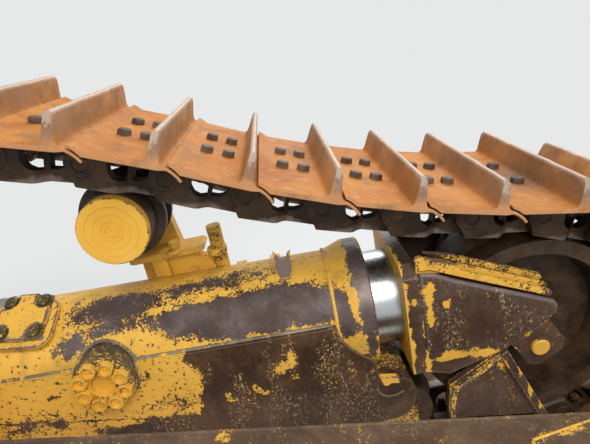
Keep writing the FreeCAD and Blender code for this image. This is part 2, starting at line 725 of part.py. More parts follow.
seam_end = tube_front_x - s.flange_long - 12
ledge_z = s.fork_foot - 8
shoulder = (
    (seam_end + 80, seam_z(seam_end, -40)), (seam_end + 44, seam_z(seam_end, -24)),
    (seam_end, seam_z(seam_end)), (s.tube_rear_x, seam_z(s.tube_rear_x)),
    (s.tube_rear_x - 90, s.frame_rear_top), (-180, s.frame_rear_top), (-300, s.frame_rear_top - 28),
    (-560, 20), (frame_rear, -10),
)
step_x = seam_end + 96
frame_side = (
    (frame_rear, s.frame_roof), (frame_nose_x - 40, s.frame_roof), (frame_nose_x - 12, -150),
    (frame_nose_x - 12, -124), (frame_nose_x - 34, ledge_z), (step_x + 14, ledge_z + 14),
    (step_x, 40),
) + shoulder
frame_box = plate("frame_box", frame_side, 4 - frame_half, frame_half - 4)
skirt_side = (
    (frame_rear + 20, s.frame_roof + 10), (frame_rear + 80, s.frame_skirt),
    (frame_nose_x - 74, s.frame_skirt), (frame_nose_x - 36, s.frame_skirt + 14),
    (frame_nose_x - 10, s.frame_skirt + 52), (frame_nose_x, s.frame_skirt + 100),
    (frame_nose_x - 12, s.frame_skirt + 140), (frame_nose_x - 34, ledge_z),
    (step_x + 14, ledge_z + 14), (step_x, 40),
) + shoulder
skirt = plate("frame_skirt_plate", skirt_side, skirt_inner, frame_half)
pivot_bore = rod("pivot_bore", s.pivot_shaft + s.running_gap, -frame_half - 5, frame_half + 5)
flange_tool = leaning(rod("frame_flange_room", s.flange_round + s.seam_gap,
                          tube_front_x - s.flange_long - 0.5, tube_front_x + s.seam_gap, 0, 0, "x"),
                      tube_front_x - s.flange_long - 0.5)
fork_room = leaning(rod("frame_piston_room", s.piston_round + 22, tube_front_x, frame_nose_x + 40,
                        0, 0, "x"), tube_front_x)
boss_tool = rod("frame_boss_room", s.boss_round + 4 + s.seam_gap, -frame_half - 5,
                -s.tube_round + 50, s.boss_x, s.boss_z)
keep(cut("roller_frame",
         fused("frame_weldment", frame_box, skirt, mirrored("frame_skirt_far", skirt)),
         tube_tool, flange_tool, fork_room, pivot_bore, boss_tool))

# Pivot shaft: carries the unit at the machine's side, held in the frame's bore
seat_start = s.seat_offset - s.pivot_seat / 2
shaft_tip = s.seat_offset + s.pivot_seat / 2
keep(turned("pivot_shaft", (
    (0, 4 - frame_half), (s.pivot_shaft, 4 - frame_half), (s.pivot_shaft, frame_half + 0.3),
    (s.pivot_collar, frame_half + 0.3), (s.pivot_collar, frame_half + 40),
    (s.pivot_shaft + 8, frame_half + 60), (s.pivot_shaft + 8, seat_start),
    (s.pivot_shaft, seat_start), (s.pivot_shaft, shaft_tip - 8), (s.pivot_shaft - 8, shaft_tip),
    (0, shaft_tip),
)))

# Front fork: an upright plate on the piston and two arms that reach out over the idler's blocks
plate_front = fork_plate_x + s.fork_plate_thick
fork_plate = slab("fork_plate", (
    (-s.fork_half, s.fork_foot), (s.fork_half, s.fork_foot), (s.fork_half, s.fork_top - 30),
    (s.fork_half - 40, s.fork_top), (40 - s.fork_half, s.fork_top), (-s.fork_half, s.fork_top - 30),
), fork_plate_x, plate_front)
slant_low = (front_x - 106, wheel_height + 11.5)
slant_high = (front_x + 48, wheel_height + 106.5)
arm_side = (
    (plate_front - 2, s.fork_foot), (plate_front + 70, s.fork_foot - 24), slant_low, slant_high,
    (front_x + 41, wheel_height + 139), (plate_front + 98, 207), (plate_front + 40, 240),
    (plate_front - 2, s.fork_top - 30),
)
fork_arm = plate("fork_arm", arm_side, cheek_inner, s.fork_half)
rib_side = (
    (plate_front - 2, s.fork_top - 60), (plate_front - 2, s.fork_top - 4), (plate_front + 60, 258),
    (plate_front + 120, 228), (front_x - 10, 128), (front_x - 10, 90), (plate_front + 98, 190),
)
fork_rib = plate("fork_rib", rib_side, cheek_inner - 12, cheek_inner + 4)
tie = box("fork_tie", (plate_front - 2, plate_front + 46), (2 - cheek_inner, cheek_inner - 2),
          (90, 150))
keep(fused("front_fork", fork_plate, fork_arm, mirrored("fork_arm_far", fork_arm),
           fork_rib, mirrored("fork_rib_far", fork_rib), tie))

# Fork guards: lower cheek plates under the arms, each with a slanting bar along its front edge
guard_top = slant_low[1] - 0.4
guard_side = (
    (front_x - 288, guard_top - 108), (front_x - 122, guard_top - 6), (front_x - 112, guard_top - 2),
    (front_x + 12, guard_top - 298), (front_x - 300, guard_top - 240),
)
guard = plate("guard_plate", guard_side, s.fork_half - 30, s.fork_half - 6)
bar_side = (
    (front_x - 130, guard_top - 16), (front_x - 106, guard_top - 3), (front_x + 24, guard_top - 298),
    (front_x - 4, guard_top - 298),
)
guard_bar = plate("guard_bar", bar_side, s.fork_half - 10, s.fork_half + 10)
near_guard = fused("near_guard", guard, guard_bar)
keep(together("fork_guards", near_guard, mirrored("guard_far", near_guard)))

# Rear fork: the frame's tail, with two cheeks for the rear idler's axle
tail_side = (
    (s.rear_idler_x - 88, wheel_height - 60), (s.rear_idler_x - 60, wheel_height - 84),
    (frame_rear - 0.3, s.frame_roof), (frame_rear - 0.3, -10),
    (s.rear_idler_x - 60, wheel_height + 84), (s.rear_idler_x - 88, wheel_height + 60),
)
rear_cheek = plate("rear_cheek", tail_side, cheek_inner, s.fork_half, 0, 0,
                   ((s.rear_idler_x, wheel_height, 29),))
tail_block = box("tail_block", (frame_rear - s.idler_room + 10, frame_rear - 0.3),
                 (-cheek_inner - 2, cheek_inner + 2), (s.frame_roof + 10, -20))
keep(fused("rear_fork", rear_cheek, mirrored("rear_cheek_far", rear_cheek), tail_block))

# Equalizer bracket: two upright ears on the machine's side, with a pin hole along X
ear_low = frame_half + s.ear_out
ear_high = ear_low + s.ear_wide
ear_middle = (ear_low + ear_high) / 2
ear_side = ((ear_low, -60), (ear_high, -60), (ear_high + 10, s.ear_pin_z),
            (ear_high - 30, s.ear_pin_z + 70), (ear_low + 30, s.ear_pin_z + 70),
            (ear_low - 10, s.ear_pin_z))
ear_hole = (ear_middle, s.ear_pin_z, s.ear_pin)
second_ear_x = s.ear_x + s.ear_thick + s.ear_gap
ears = [slab("equalizer_ear_%d" % (i + 1), ear_side, x, x + s.ear_thick, (ear_hole,))
        for i, x in enumerate((s.ear_x, second_ear_x))]
ear_foot = box("equalizer_foot", (s.ear_x - 20, second_ear_x + s.ear_thick + 20),
               (frame_half + s.seam_gap, ear_high), (-110, -60))
keep(fused("equalizer_bracket", ear_foot, *ears))

# Final drive: a stepped round housing in the sprocket, closed by a domed hub
drive_profile = (
    (0, -118), (150, -118), (196, -100), (s.drive_round, -60), (s.drive_round, 96), (262, 96),
    (262, 212), (s.drive_flange, 212), (s.drive_flange, s.drive_face), (0, s.drive_face),
)
drive_house = turned("drive_house", drive_profile, s.sprocket_x, 0, sprocket_z)
flange_holes = []
for number in range(int(s.drive_holes.value)):
    angle = 2 * math.pi / s.drive_holes.value * number
    flange_holes.append(rod("drive_hole_%d" % (number + 1), s.drive_hole, s.drive_face - 40,
                            s.drive_face + 10, s.sprocket_x + s.drive_hole_circle * math.cos(angle),
                            sprocket_z + s.drive_hole_circle * math.sin(angle)))
keep(cut("final_drive", drive_house, *flange_holes))

# Sprocket hub: a dished ring round the drive, to which the toothed segments are bolted
segment_inner = Size.of(sprocket_pin_round) - s.segment_depth
hub_bore = s.drive_round + s.seam_gap
hub_seat = segment_inner - s.seam_gap
hub_profile = (
    (hub_bore, -60), (segment_inner - 46, -60), (hub_seat, -46), (hub_seat, 46),
    (segment_inner - 60, 46), (segment_inner - 60, 30), (hub_bore + 30, 30), (hub_bore + 30, 60),
    (hub_bore, 60),
)
keep(turned("sprocket_hub", hub_profile, s.sprocket_x, 0, sprocket_z))


# Toothed segments, five teeth each, whose hollows take the bushings
def segment_shape(first_root):
    """A ring sector with hollows round the bushings and pointed teeth between them."""
    teeth = int(s.sprocket_teeth.value // s.segment_count.value)
    tooth_angle = 2 * math.pi / s.sprocket_teeth.value
    hollow = bushing_round + s.seam_gap.value
    inner = segment_inner.value
    outline = []
    for number in range(teeth + 1):
        root = first_root + tooth_angle * (number - 0.5)
        crown = root
        for turn, radius in ((-0.085, sprocket_pin_round + 4), (0.085, sprocket_pin_round + 4)):
            if (number == 0 and turn < 0) or (number == teeth and turn > 0):
                continue
            outline.append((crown + turn * tooth_angle, radius))
        if number < teeth:
            for turn, radius in ((0.25, sprocket_pin_round - hollow * 0.66),
                                 (0.42, sprocket_pin_round - hollow),
                                 (0.58, sprocket_pin_round - hollow),
                                 (0.75, sprocket_pin_round - hollow * 0.66)):
                outline.append((crown + turn * tooth_angle, radius))
    span = tooth_angle * teeth
    low = first_root - tooth_angle * 0.5 + 0.0006
    high = low + span - 0.0012
    outline[0] = (low, outline[0][1])
    outline[-1] = (high, outline[-1][1])
    for number in range(teeth + 1):
        outline.append((high + (low - high) * number / teeth, inner / math.cos(tooth_angle / 2)))
    corners = [(radius * math.cos(angle), radius * math.sin(angle)) for angle, radius in outline]
    return prism(corners, -s.segment_thick.value / 2, s.segment_thick.value / 2)


start_pin = pins[1]
first_root = math.atan2(start_pin[1] - sprocket_z.value, start_pin[0] - s.sprocket_x.value)
for number in range(int(s.segment_count.value)):
    turn = 2 * math.pi / s.segment_count.value * number
    segment = doc.addObject("Part::Feature", "sprocket_segment_%d" % (number + 1))
    segment.Shape = segment_shape(first_root + turn)
    keep(at(segment, s.sprocket_x, 0, sprocket_z))

# Trunnion: a pin on the frame's outer side, on which the push arm swings
arm_outer = s.arm_inner + s.arm_wide
trunnion_foot = plate("trunnion_foot", ((-150, -130), (98, -130), (98, 130), (-120, 130)),
                      -frame_half - 36, -frame_half - 0.3, s.trunnion_x, s.trunnion_height - 60)
trunnion_profile = (
    (0, -frame_half - 30), (118, -frame_half - 30), (96, 40 - s.arm_inner),
    (96, s.arm_side_gap - s.arm_inner), (s.trunnion_pin, s.arm_side_gap - s.arm_inner),
    (s.trunnion_pin, -arm_outer - s.arm_side_gap), (0, -arm_outer - s.arm_side_gap),
)
trunnion_neck = turned("trunnion_neck", trunnion_profile, s.trunnion_x, 0, s.trunnion_height)
keep(fused("trunnion", trunnion_foot, trunnion_neck))
keep(turned("trunnion_cap", (
    (0, -arm_outer - s.arm_side_gap - 22), (78, -arm_outer - s.arm_side_gap - 22),
    (88, -arm_outer - s.arm_side_gap - 12), (88, -arm_outer - s.arm_side_gap - 0.3),
    (0, -arm_outer - s.arm_side_gap - 0.3),
), s.trunnion_x, 0, s.trunnion_height))

# Push arm: a long tapering box with a round eye at the trunnion and one at the blade's end
tip_x, tip_z = s.arm_long, -s.arm_drop
slope = s.arm_drop / s.arm_long
arm_corners = (
    (-150, 40), (-150, -60), (-90, -150), (150, -s.arm_rear_deep / 2 - 30),
    (tip_x - 260, tip_z + 44 - s.arm_front_deep / 2), (tip_x - 60, tip_z - 100), (tip_x + 60, tip_z - 96),
    (tip_x + 112, tip_z - 40), (tip_x + 112, tip_z + 50), (tip_x + 50, tip_z + 104),
    (tip_x - 200, tip_z + 36 + s.arm_front_deep / 2), (150, s.arm_rear_deep / 2 - 26), (-90, 134),
)
arm_blank = plate("arm_blank", arm_corners, -arm_outer, -s.arm_inner, s.trunnion_x,
                  s.trunnion_height, ((0, 0, s.trunnion_pin + s.running_gap),
                                      (tip_x, tip_z, s.arm_eye)))
fork_gap = box("arm_clevis_gap", (s.trunnion_x + tip_x - 120, s.trunnion_x + tip_x + 200),
               (-arm_outer + 52, -s.arm_inner - 52),
               (s.trunnion_height + tip_z - 160, s.trunnion_height + tip_z + 160))
keep(cut("push_arm", arm_blank, fork_gap))

# Check every object, then write each piece
doc.recompute()
for thing in doc.Objects:
    if "Invalid" in thing.State or "Error" in thing.State:
        raise RuntimeError("%s failed: %s" % (thing.Label, thing.State))
os.makedirs("parts", exist_ok=True)
for thing in nodes:
    if thing.Shape.isNull() or not thing.Shape.isValid():
        raise RuntimeError("%s has no valid shape" % thing.Label)
for thing in nodes:
    thing.Shape.exportStep("parts/%s.step" % thing.Label)
print("pieces", len(nodes), "front idler at x", round(front_x, 2), "z", round(wheel_height, 2))
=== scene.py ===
"""The looks of a bulldozer's crawler track unit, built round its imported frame, in metres."""
import math

import bmesh
import bpy
from mathutils import Matrix, Vector, noise


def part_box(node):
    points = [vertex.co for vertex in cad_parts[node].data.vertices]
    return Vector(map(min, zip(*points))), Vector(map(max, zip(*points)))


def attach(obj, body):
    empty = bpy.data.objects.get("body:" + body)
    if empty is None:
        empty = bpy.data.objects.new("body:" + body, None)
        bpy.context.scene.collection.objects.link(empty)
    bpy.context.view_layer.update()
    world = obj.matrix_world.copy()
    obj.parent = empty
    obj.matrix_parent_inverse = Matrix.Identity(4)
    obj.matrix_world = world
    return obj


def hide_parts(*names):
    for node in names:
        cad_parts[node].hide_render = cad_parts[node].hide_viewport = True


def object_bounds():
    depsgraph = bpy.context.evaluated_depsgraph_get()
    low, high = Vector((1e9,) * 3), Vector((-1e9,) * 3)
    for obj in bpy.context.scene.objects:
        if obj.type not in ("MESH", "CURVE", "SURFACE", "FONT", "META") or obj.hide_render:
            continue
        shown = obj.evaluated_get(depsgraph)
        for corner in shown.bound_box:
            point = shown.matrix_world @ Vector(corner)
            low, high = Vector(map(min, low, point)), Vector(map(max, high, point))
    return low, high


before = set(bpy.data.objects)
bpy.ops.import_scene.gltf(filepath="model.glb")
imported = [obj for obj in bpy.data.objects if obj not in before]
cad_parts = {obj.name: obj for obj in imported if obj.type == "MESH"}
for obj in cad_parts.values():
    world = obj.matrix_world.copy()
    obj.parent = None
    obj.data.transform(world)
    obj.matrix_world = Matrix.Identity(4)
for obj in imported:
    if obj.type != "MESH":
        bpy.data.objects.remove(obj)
cad_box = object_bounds()

# Roller frame: a long box that carries the rollers, welded from thick plate, with a cradle on top
# in which the recoil tube lies. Its yellow enamel is chipped, and gone along the front and foot.
TRACK_MIDDLE = -0.47
YELLOW = (0.72, 0.385, 0.042, 1)
PALE_YELLOW = (0.82, 0.48, 0.08, 1)
# Dark yellow of stains and grime round the chips, and also painted shade on the tube and the stand.
SOILED_SHADED_YELLOW = (0.33, 0.185, 0.028, 1)
RUST = (0.26, 0.105, 0.03, 1)
BOX_STEEL = ((0.036, 0.016, 0.008, 1), (0.125, 0.066, 0.036, 1))
SIDE_STEEL_X = 0.988
FRAME_SIDE = -666


class Wire:
    """One output of a material's nodes. Sums written with it add their own Math nodes."""

    def __init__(self, tree, socket=None):
        self.tree, self.socket = tree, socket

    def node(self, kind, settings=None, inputs=None, out=0):
        """Add any node, named without its "ShaderNode": its settings first, then its sockets."""
        new = self.tree.nodes.new("ShaderNode" + kind)
        for word, value in (settings or {}).items():
            setattr(new, word, value)
        for word, value in (inputs or {}).items():
            if isinstance(value, Wire):
                self.tree.links.new(value.socket, new.inputs[word])
            else:
                new.inputs[word].default_value = value
        return Wire(self.tree, new.outputs[out])

    def math(self, operation, first, second=0.0):
        return self.node("Math", {"operation": operation}, {0: first, 1: second})

    def vector(self, operation, first, second, out=0):
        return self.node("VectorMath", {"operation": operation}, {0: first, 1: second}, out)

    def mark(self, name):
        """A mark that a mesh carries on its points, such as where it is rubbed."""
        return self.node("Attribute", {"attribute_name": name}, out="Fac")

    def __add__(self, other):
        return self.math("ADD", self, other)

    def __sub__(self, other):
        return self.math("SUBTRACT", self, other)

    def __mul__(self, other):
        return self.math("MULTIPLY", self, other)

    def __rsub__(self, other):
        return self.math("SUBTRACT", other, self)

    __radd__ = __add__
    __rmul__ = __mul__

    def most(self, other):
        return self.math("MAXIMUM", self, other)

    def axis(self, number):
        """One coordinate of this position: 0, 1 or 2."""
        return self.node("SeparateXYZ", {}, {0: self}, number)

    def stretched(self, scale):
        """This position pulled out along its axes, so that a pattern on it runs one way."""
        return self.node("Mapping", {}, {"Vector": self, "Scale": scale})

    def shaken(self, scale, reach):
        """This position pushed about by cloudy noise, so that an outline on it turns ragged."""
        push = self.node("TexNoise", {}, {
            "Vector": self, "Scale": scale, "Detail": 7.0, "Roughness": 0.68}, 1)
        even = self.vector("SUBTRACT", push, (0.5,) * 3)
        return self.vector("ADD", self, self.vector("MULTIPLY", even, (reach,) * 3))

    def noise(self, scale, detail=4.0, rough=0.6, bend=0.0):
        """Cloudy noise over this position."""
        return self.node("TexNoise", {}, {
            "Vector": self, "Scale": scale, "Detail": detail, "Roughness": rough,
            "Distortion": bend})

    def between(self, low, high, to_low=0.0, to_high=1.0):
        """0 below low, 1 above high, and a smooth step between them."""
        return self.node("MapRange", {"interpolation_type": "SMOOTHSTEP"}, {
            "Value": self, "From Min": low, "From Max": high, "To Min": to_low,
            "To Max": to_high})

    def spot(self, centre, reach):
        """1 at a place on the machine, falling to 0 at its reach along each axis."""
        share = self.vector("DIVIDE", self.vector("SUBTRACT", self, centre), reach)
        return (1.0 - self.vector("LENGTH", share, (0,) * 3, 1)).between(0.0, 0.78)

    def mix(self, first, second):
        """The first colour where this is 0 and the second where it is 1."""
        return self.node("Mix", {"data_type": "RGBA"}, {0: self, 6: first, 7: second}, 2)

    def bumped(self, strength, distance):
        return self.node("Bump", {}, {"Height": self, "Strength": strength, "Distance": distance})


def new_material(name):
    """An empty material: its shader, and the position and the rub mark that its masks read."""
    material = bpy.data.materials.new(name)
    material.use_nodes = True
    tree = material.node_tree
    shader = tree.nodes["Principled BSDF"]
    place = Wire(tree).node("TexCoord", out="Object")
    return material, shader, place, place.mark("rub")


def set_shader(shader, **values):
    for word, value in values.items():
        socket = shader.inputs[word.replace("_", " ")]
        if isinstance(value, Wire):
            value.tree.links.new(value.socket, socket)
        else:
            socket.default_value = value


def worn_paint(name, wear, patches=(), field=None, rub=0.32, paint=YELLOW, steel=BOX_STEEL,
               scuffs_and_sheen=(0.3, 0.19, 0.12, 1), pits=0.0, flecks=0.0, tan=0.0, rough=0.36,
               shine=0.35, soiling_and_shade=0.3, ragged_edge=0.075):
    """Enamel over steel: chipped by stones, rubbed off edges, and stained round each chip.

    The higher the wear, the less paint is left. Patches (x, y, z, the reach along each, all in
    millimetres, and the strength) and a field over the whole piece add to it. Pits are small
    chips all over, flecks and tan leave specks of paint and of dry soil in columns on the bare
    steel, and the scuff colour is the steel's colour along its scratches and rubbed edges; on the
    tube and the fork's cheeks it also paints a sheen and a highlight. The grime amount darkens
    the enamel with dirt; on the tube and the carrier stand it also paints shade.
    """
    material, shader, place, rubbed = new_material(name)
    broad = place.noise(6.0, 6.0, 0.62, 0.3)
    chips = place.noise(30.0, 9.0, 0.72, 0.5)
    specks = place.noise(135.0, 4.0, 0.62)
    ragged = (broad - 0.5) * 0.6 + (chips - 0.5) * 1.25 + (specks - 0.5) * 1.35
    loss = ragged + rubbed * rub + wear
    bent = place.shaken(17.0, ragged_edge)
    if field:
        loss = loss + field(bent)
    for *sizes, strength in patches:
        sizes = [size / 1000 for size in sizes]
        loss = loss + bent.spot(sizes[:3], sizes[3:]) * strength
    if pits:
        loss = loss + place.noise(85.0, 2.0, 0.5).between(0.625, 0.645) * pits
    columns = place.stretched((1.0, 1.0, 0.35)).noise(16.0, 3.0, 0.6).between(0.45, 0.58)
    if flecks:
        speck = place.noise(120.0, 3.0, 0.75).between(0.575, 0.62)
        loss = loss - columns * speck * flecks
    bare = loss.between(0.0, 0.014)
    stained = loss.between(-0.1, 0.0)
    fade = place.noise(2.6, 3.0, 0.5).between(0.35, 0.68)
    soiling_shade_mask = place.noise(11.0, 6.0, 0.65).between(0.45, 0.72)
    enamel = fade.mix(paint, PALE_YELLOW)
    # Grime and stains darken the enamel. Where the grime amount is raised, as on the tube and the
    # carrier stand, this is also painted shade.
    enamel = (soiling_shade_mask * soiling_and_shade + stained * 0.4).mix(enamel, SOILED_SHADED_YELLOW)
    tone = place.noise(8.0, 8.0, 0.68, 0.4).between(0.36, 0.68)
    rusty = place.noise(21.0, 7.0, 0.7).between(0.52, 0.72)
    scuff = place.stretched((1.0, 1.0, 0.3)).noise(46.0, 6.0, 0.75, 0.5).between(0.5, 0.72)
    bare_steel = tone.mix(*steel)
    bare_steel = (rusty * 0.22).mix(bare_steel, RUST)
    # Scratches and rubbed edges take the scuff colour: scuffed steel, and on the tube and the
    # fork's cheeks also a painted sheen and highlight.
    bare_steel = (scuff * tone * 0.4 + rubbed * 0.3).mix(bare_steel, scuffs_and_sheen)
    if tan:
        soil = place.stretched((1.0, 1.0, 0.55)).noise(150.0, 3.0, 0.7).between(0.55, 0.64)
        bare_steel = (soil * columns * tan).mix(bare_steel, (0.4, 0.32, 0.22, 1))
    gloss = place.noise(26.0, 5.0, 0.6) * 0.22
    height = (1.0 - bare) * 0.5 + place.noise(70.0, 8.0, 0.7) * 0.3 + scuff * bare * 0.12
    set_shader(shader, Specular_IOR_Level=0.38, Base_Color=bare.mix(enamel, bare_steel),
               Metallic=bare * tone * shine, Roughness=gloss + rough + (1.0 - bare) * 0.08,
               Normal=height.bumped(0.6, 0.0018))
    return material


def linked(name, data):
    """A new object in the scene."""
    thing = bpy.data.objects.new(name, data)
    bpy.context.scene.collection.objects.link(thing)
    return thing


def put(name, mesh, material, slot, *replaced, body="track_unit", sharp=32):
    """Turn a finished bmesh into a piece on its body, in place of CAD nodes. The slot is not used.
    """
    for face in mesh.faces:
        face.smooth = True
    data = bpy.data.meshes.new(name)
    mesh.to_mesh(data)
    mesh.free()
    data.set_sharp_from_angle(angle=math.radians(sharp))
    data.materials.append(material)
    piece = linked(name, data)
    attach(piece, body)
    if replaced:
        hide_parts(*replaced)


def marks(mesh, name="rub"):
    """The layer of a mesh's points that holds a mark for its material."""
    return mesh.verts.layers.float.get(name) or mesh.verts.layers.float.new(name)


def faced_out(mesh):
    bmesh.ops.recalc_face_normals(mesh, faces=mesh.faces)
    return mesh


def flats_joined(mesh):
    """The mesh with the triangles of each flat face made one."""
    bmesh.ops.dissolve_limit(mesh, angle_limit=math.radians(0.5), verts=mesh.verts,
                             edges=mesh.edges)
    return mesh


def sharp_edges(mesh, angle):
    return [edge for edge in mesh.edges
            if edge.is_manifold and edge.calc_face_angle(0) > math.radians(angle)]


def bevelled(mesh, edges, corner, segments=1, clamp=True):
    """Bevel some edges, and give the faces that this makes."""
    return bmesh.ops.bevel(mesh, geom=edges, affect="EDGES", offset=corner, segments=segments,
                           profile=0.5, material=-1, clamp_overlap=clamp)["faces"]


def rounded(mesh, corner, rub_width=0.0, sharp=28, segments=2):
    """Round a mesh's corners and mark them as rubbed, with a strip of each flat beside them."""
    edges = sharp_edges(mesh, sharp)
    rub = marks(mesh)
    worn = set(bevelled(mesh, edges, corner, segments))
    left = {face for face in mesh.faces if face not in worn} if rub_width else set()
    while left:
        start = left.pop()
        flat, edge_of_flat = [start], [start]
        while edge_of_flat:
            near = {other for edge in edge_of_flat.pop().edges for other in edge.link_faces} & left
            left -= near
            flat += near
            edge_of_flat += near
        rim = [edge.calc_length() for face in flat for edge in face.edges
               if any(other in worn for other in edge.link_faces)]
        strip = min([rub_width] + [length * 0.42 for length in rim])
        if rim and strip > 0.0004:
            bmesh.ops.inset_region(mesh, faces=flat, thickness=strip, use_boundary=True,
                                   use_even_offset=False)
    for face in worn:
        if face.is_valid:
            for vert in face.verts:
                vert[rub] = 1.0
    return mesh


def rounded_copy(node, corner, rub_width=0.0):
    """A node's shape as one closed mesh with rounded, rubbed corners."""
    mesh = bmesh.new()
    mesh.from_mesh(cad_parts[node].data)
    bmesh.ops.remove_doubles(mesh, verts=mesh.verts, dist=0.00002)
    return rounded(flats_joined(mesh), corner, rub_width)


def put_copy(name, node, corner, rub_width, material, slot):
    """Put a rounded copy of a node in the node's place."""
    put(name, rounded_copy(node, corner, rub_width), material, slot, node)


def box_wear(place):
    """Bare steel ahead of the cover's yellow side, under the cracked line and along the roof."""
    bulge = place.math("ABSOLUTE", place.axis(2) - 0.045)
    ahead = (place.axis(0) + bulge * 0.25).between(SIDE_STEEL_X - 0.014, SIDE_STEEL_X + 0.014)
    line = place.axis(2) + place.axis(0) * 0.2 - 0.092
    under = (place.axis(0).between(0.7, 0.84) * 0.035 - line).between(0.016, 0.046)
    crack = line.between(-0.006, 0.0) * (line * -1.0).between(-0.006, 0.0)
    outside = (place.axis(1) * -1.0).between(0.6, 0.64)
    front = place.axis(0).between(0.56, 0.72)
    return (ahead.most(under * front) * 0.86 + crack * 0.45) * outside


def on_side(y, depth, *rows):
    """Patches on an upright side at y, each with its x, z, reach along x and z, and strength."""
    return tuple((x, y, z, wide, depth, tall, strength) for x, z, wide, tall, strength in rows)


frame_paint = worn_paint("chipped_frame_paint", -0.325, (
    *on_side(FRAME_SIDE, 30, (1241, 29, 48, 34, -0.68), (1263, 60, 23, 36, -0.68),
        (1216, 14, 26, 20, -0.62), (1258, -14, 30, 36, -0.46), (1131, -32, 25, 37, -0.62),
        (1151, -50, 32, 20, -0.64), (1050, -42, 18, 34, -0.6), (1068, -61, 23, 16, -0.56),
        (1250, -185, 600, 110, 0.5), (1349, 20, 22, 100, -0.36), (1436, -12, 45, 75, -0.38),
        (962, 124, 26, 26, 0.6), (450, -10, 340, 75, 0.25), (870, -30, 150, 60, 0.26),
        (547, 78, 34, 10, 0.62), (834, 90, 10, 30, 0.52), (420, -10, 60, 20, 0.3),
        (520, -14, 35, 30, 0.32)),
    (1550, -470, -170, 250, 600, 160, 0.5), (300, -470, -270, 2200, 600, 110, 0.3),
), box_wear, pits=0.42, flecks=0.8, tan=0.75, ragged_edge=0.05)
put_copy("welded_roller_frame", "roller_frame", 0.004, 0.006, frame_paint, "frame_paint")

# Recoil tube: a heavy pipe that holds the spring and oil behind the front idler. It is turned
# from forged pipe, flares to a collar at its mouth and leans two degrees down to the front. Earth
# that falls off the track has polished its near side to bare steel.
TUBE_ROUND = 0.183
TUBE_HEIGHT = 0.137
TUBE_LEAN = 2
MOUTH_X = 1.5312
BORE = 0.1543
CRADLE_EDGE = 0.038
BOX_SIDE = -0.668
BOSS_X, BOSS_Z, BOSS_ROUND = 0.72, 0.121, 0.091


def shift(x, y, z):
    return Matrix.Translation((x, y, z))


def twist(degrees, axis):
    return Matrix.Rotation(math.radians(degrees), 4, axis)


on_tube_axis = shift(0, TRACK_MIDDLE, TUBE_HEIGHT) @ twist(TUBE_LEAN, "Y")


def mm(points):
    """Points of an outline or a profile, written in millimetres."""
    return [(x / 1000, z / 1000) for x, z in points]


def spun(profile, steps):
    """A closed shape turned about X from (x, radius) points, from pole to pole or as a ring."""
    mesh = bmesh.new()
    points = [mesh.verts.new((x, 0, radius)) for x, radius in profile]
    edges = [mesh.edges.new(pair) for pair in zip(points[:-1], points[1:])]
    if min(profile[0][1], profile[-1][1]) > 0:
        edges.append(mesh.edges.new((points[-1], points[0])))
    bmesh.ops.spin(mesh, geom=points + edges, cent=(0, 0, 0), axis=(1, 0, 0),
                   angle=math.tau, steps=steps, use_merge=True)
    bmesh.ops.remove_doubles(mesh, verts=mesh.verts, dist=0.00001)
    return faced_out(mesh)


def joined(*meshes):
    """Several bmeshes as one."""
    whole = bmesh.new()
    marks(whole)
    for other in meshes:
        data = bpy.data.meshes.new("part")
        other.to_mesh(data)
        other.free()
        whole.from_mesh(data)
        bpy.data.meshes.remove(data)
    return whole


def placed(mesh, *matrices):
    """The mesh moved by a matrix, or copies of it at several matrices."""
    if len(matrices) == 1:
        bmesh.ops.transform(mesh, matrix=matrices[0], verts=mesh.verts)
        return mesh
    return joined(*(placed(mesh.copy(), matrix) for matrix in matrices))


def spun_across(profile, steps, x, z):
    """A turned shape whose axis runs across the machine through x, z; profile (y, radius)."""
    return placed(spun(profile, steps), shift(x, 0, z) @ twist(90, "Z"))


def bead(route, radius):
    """A weld bead: a rod with the ripples of its laying, bent along a route of points."""
    route = [Vector(point) for point in route]
    lengths = [(b - a).length for a, b in zip(route[:-1], route[1:])]
    total = sum(lengths)
    count = max(6, int(total / (radius * 1.5)))
    profile = [(0, 0)]
    for number in range(count + 1):
        share = 0.002 + 0.996 * number / count
        swell = 0.88 + 0.12 * (number % 2) + 0.16 * noise.noise(Vector((number * 0.37, total, 0)))
        profile.append((share, radius * swell * (0.6 if number in (0, count) else 1)))
    mesh = spun(profile + [(1, 0)], 7)
    for vert in mesh.verts:
        left = vert.co.x * total
        index = 0
        while index < len(lengths) - 1 and left > lengths[index]:
            left -= lengths[index]
            index += 1
        along = (route[index + 1] - route[index]).normalized()
        side = along.cross(Vector((0.31, 0.2, 0.93))).normalized()
        up = side.cross(along)
        vert.co = route[index] + along * left + side * vert.co.y + up * vert.co.z
    return faced_out(mesh)


def tube_point(x, angle, out=0.0):
    """A point on the recoil tube at x along its axis, by the angle over its near side."""
    turn = math.radians(angle)
    reach = TUBE_ROUND + out
    return on_tube_axis @ Vector((x, -reach * math.cos(turn), reach * math.sin(turn)))


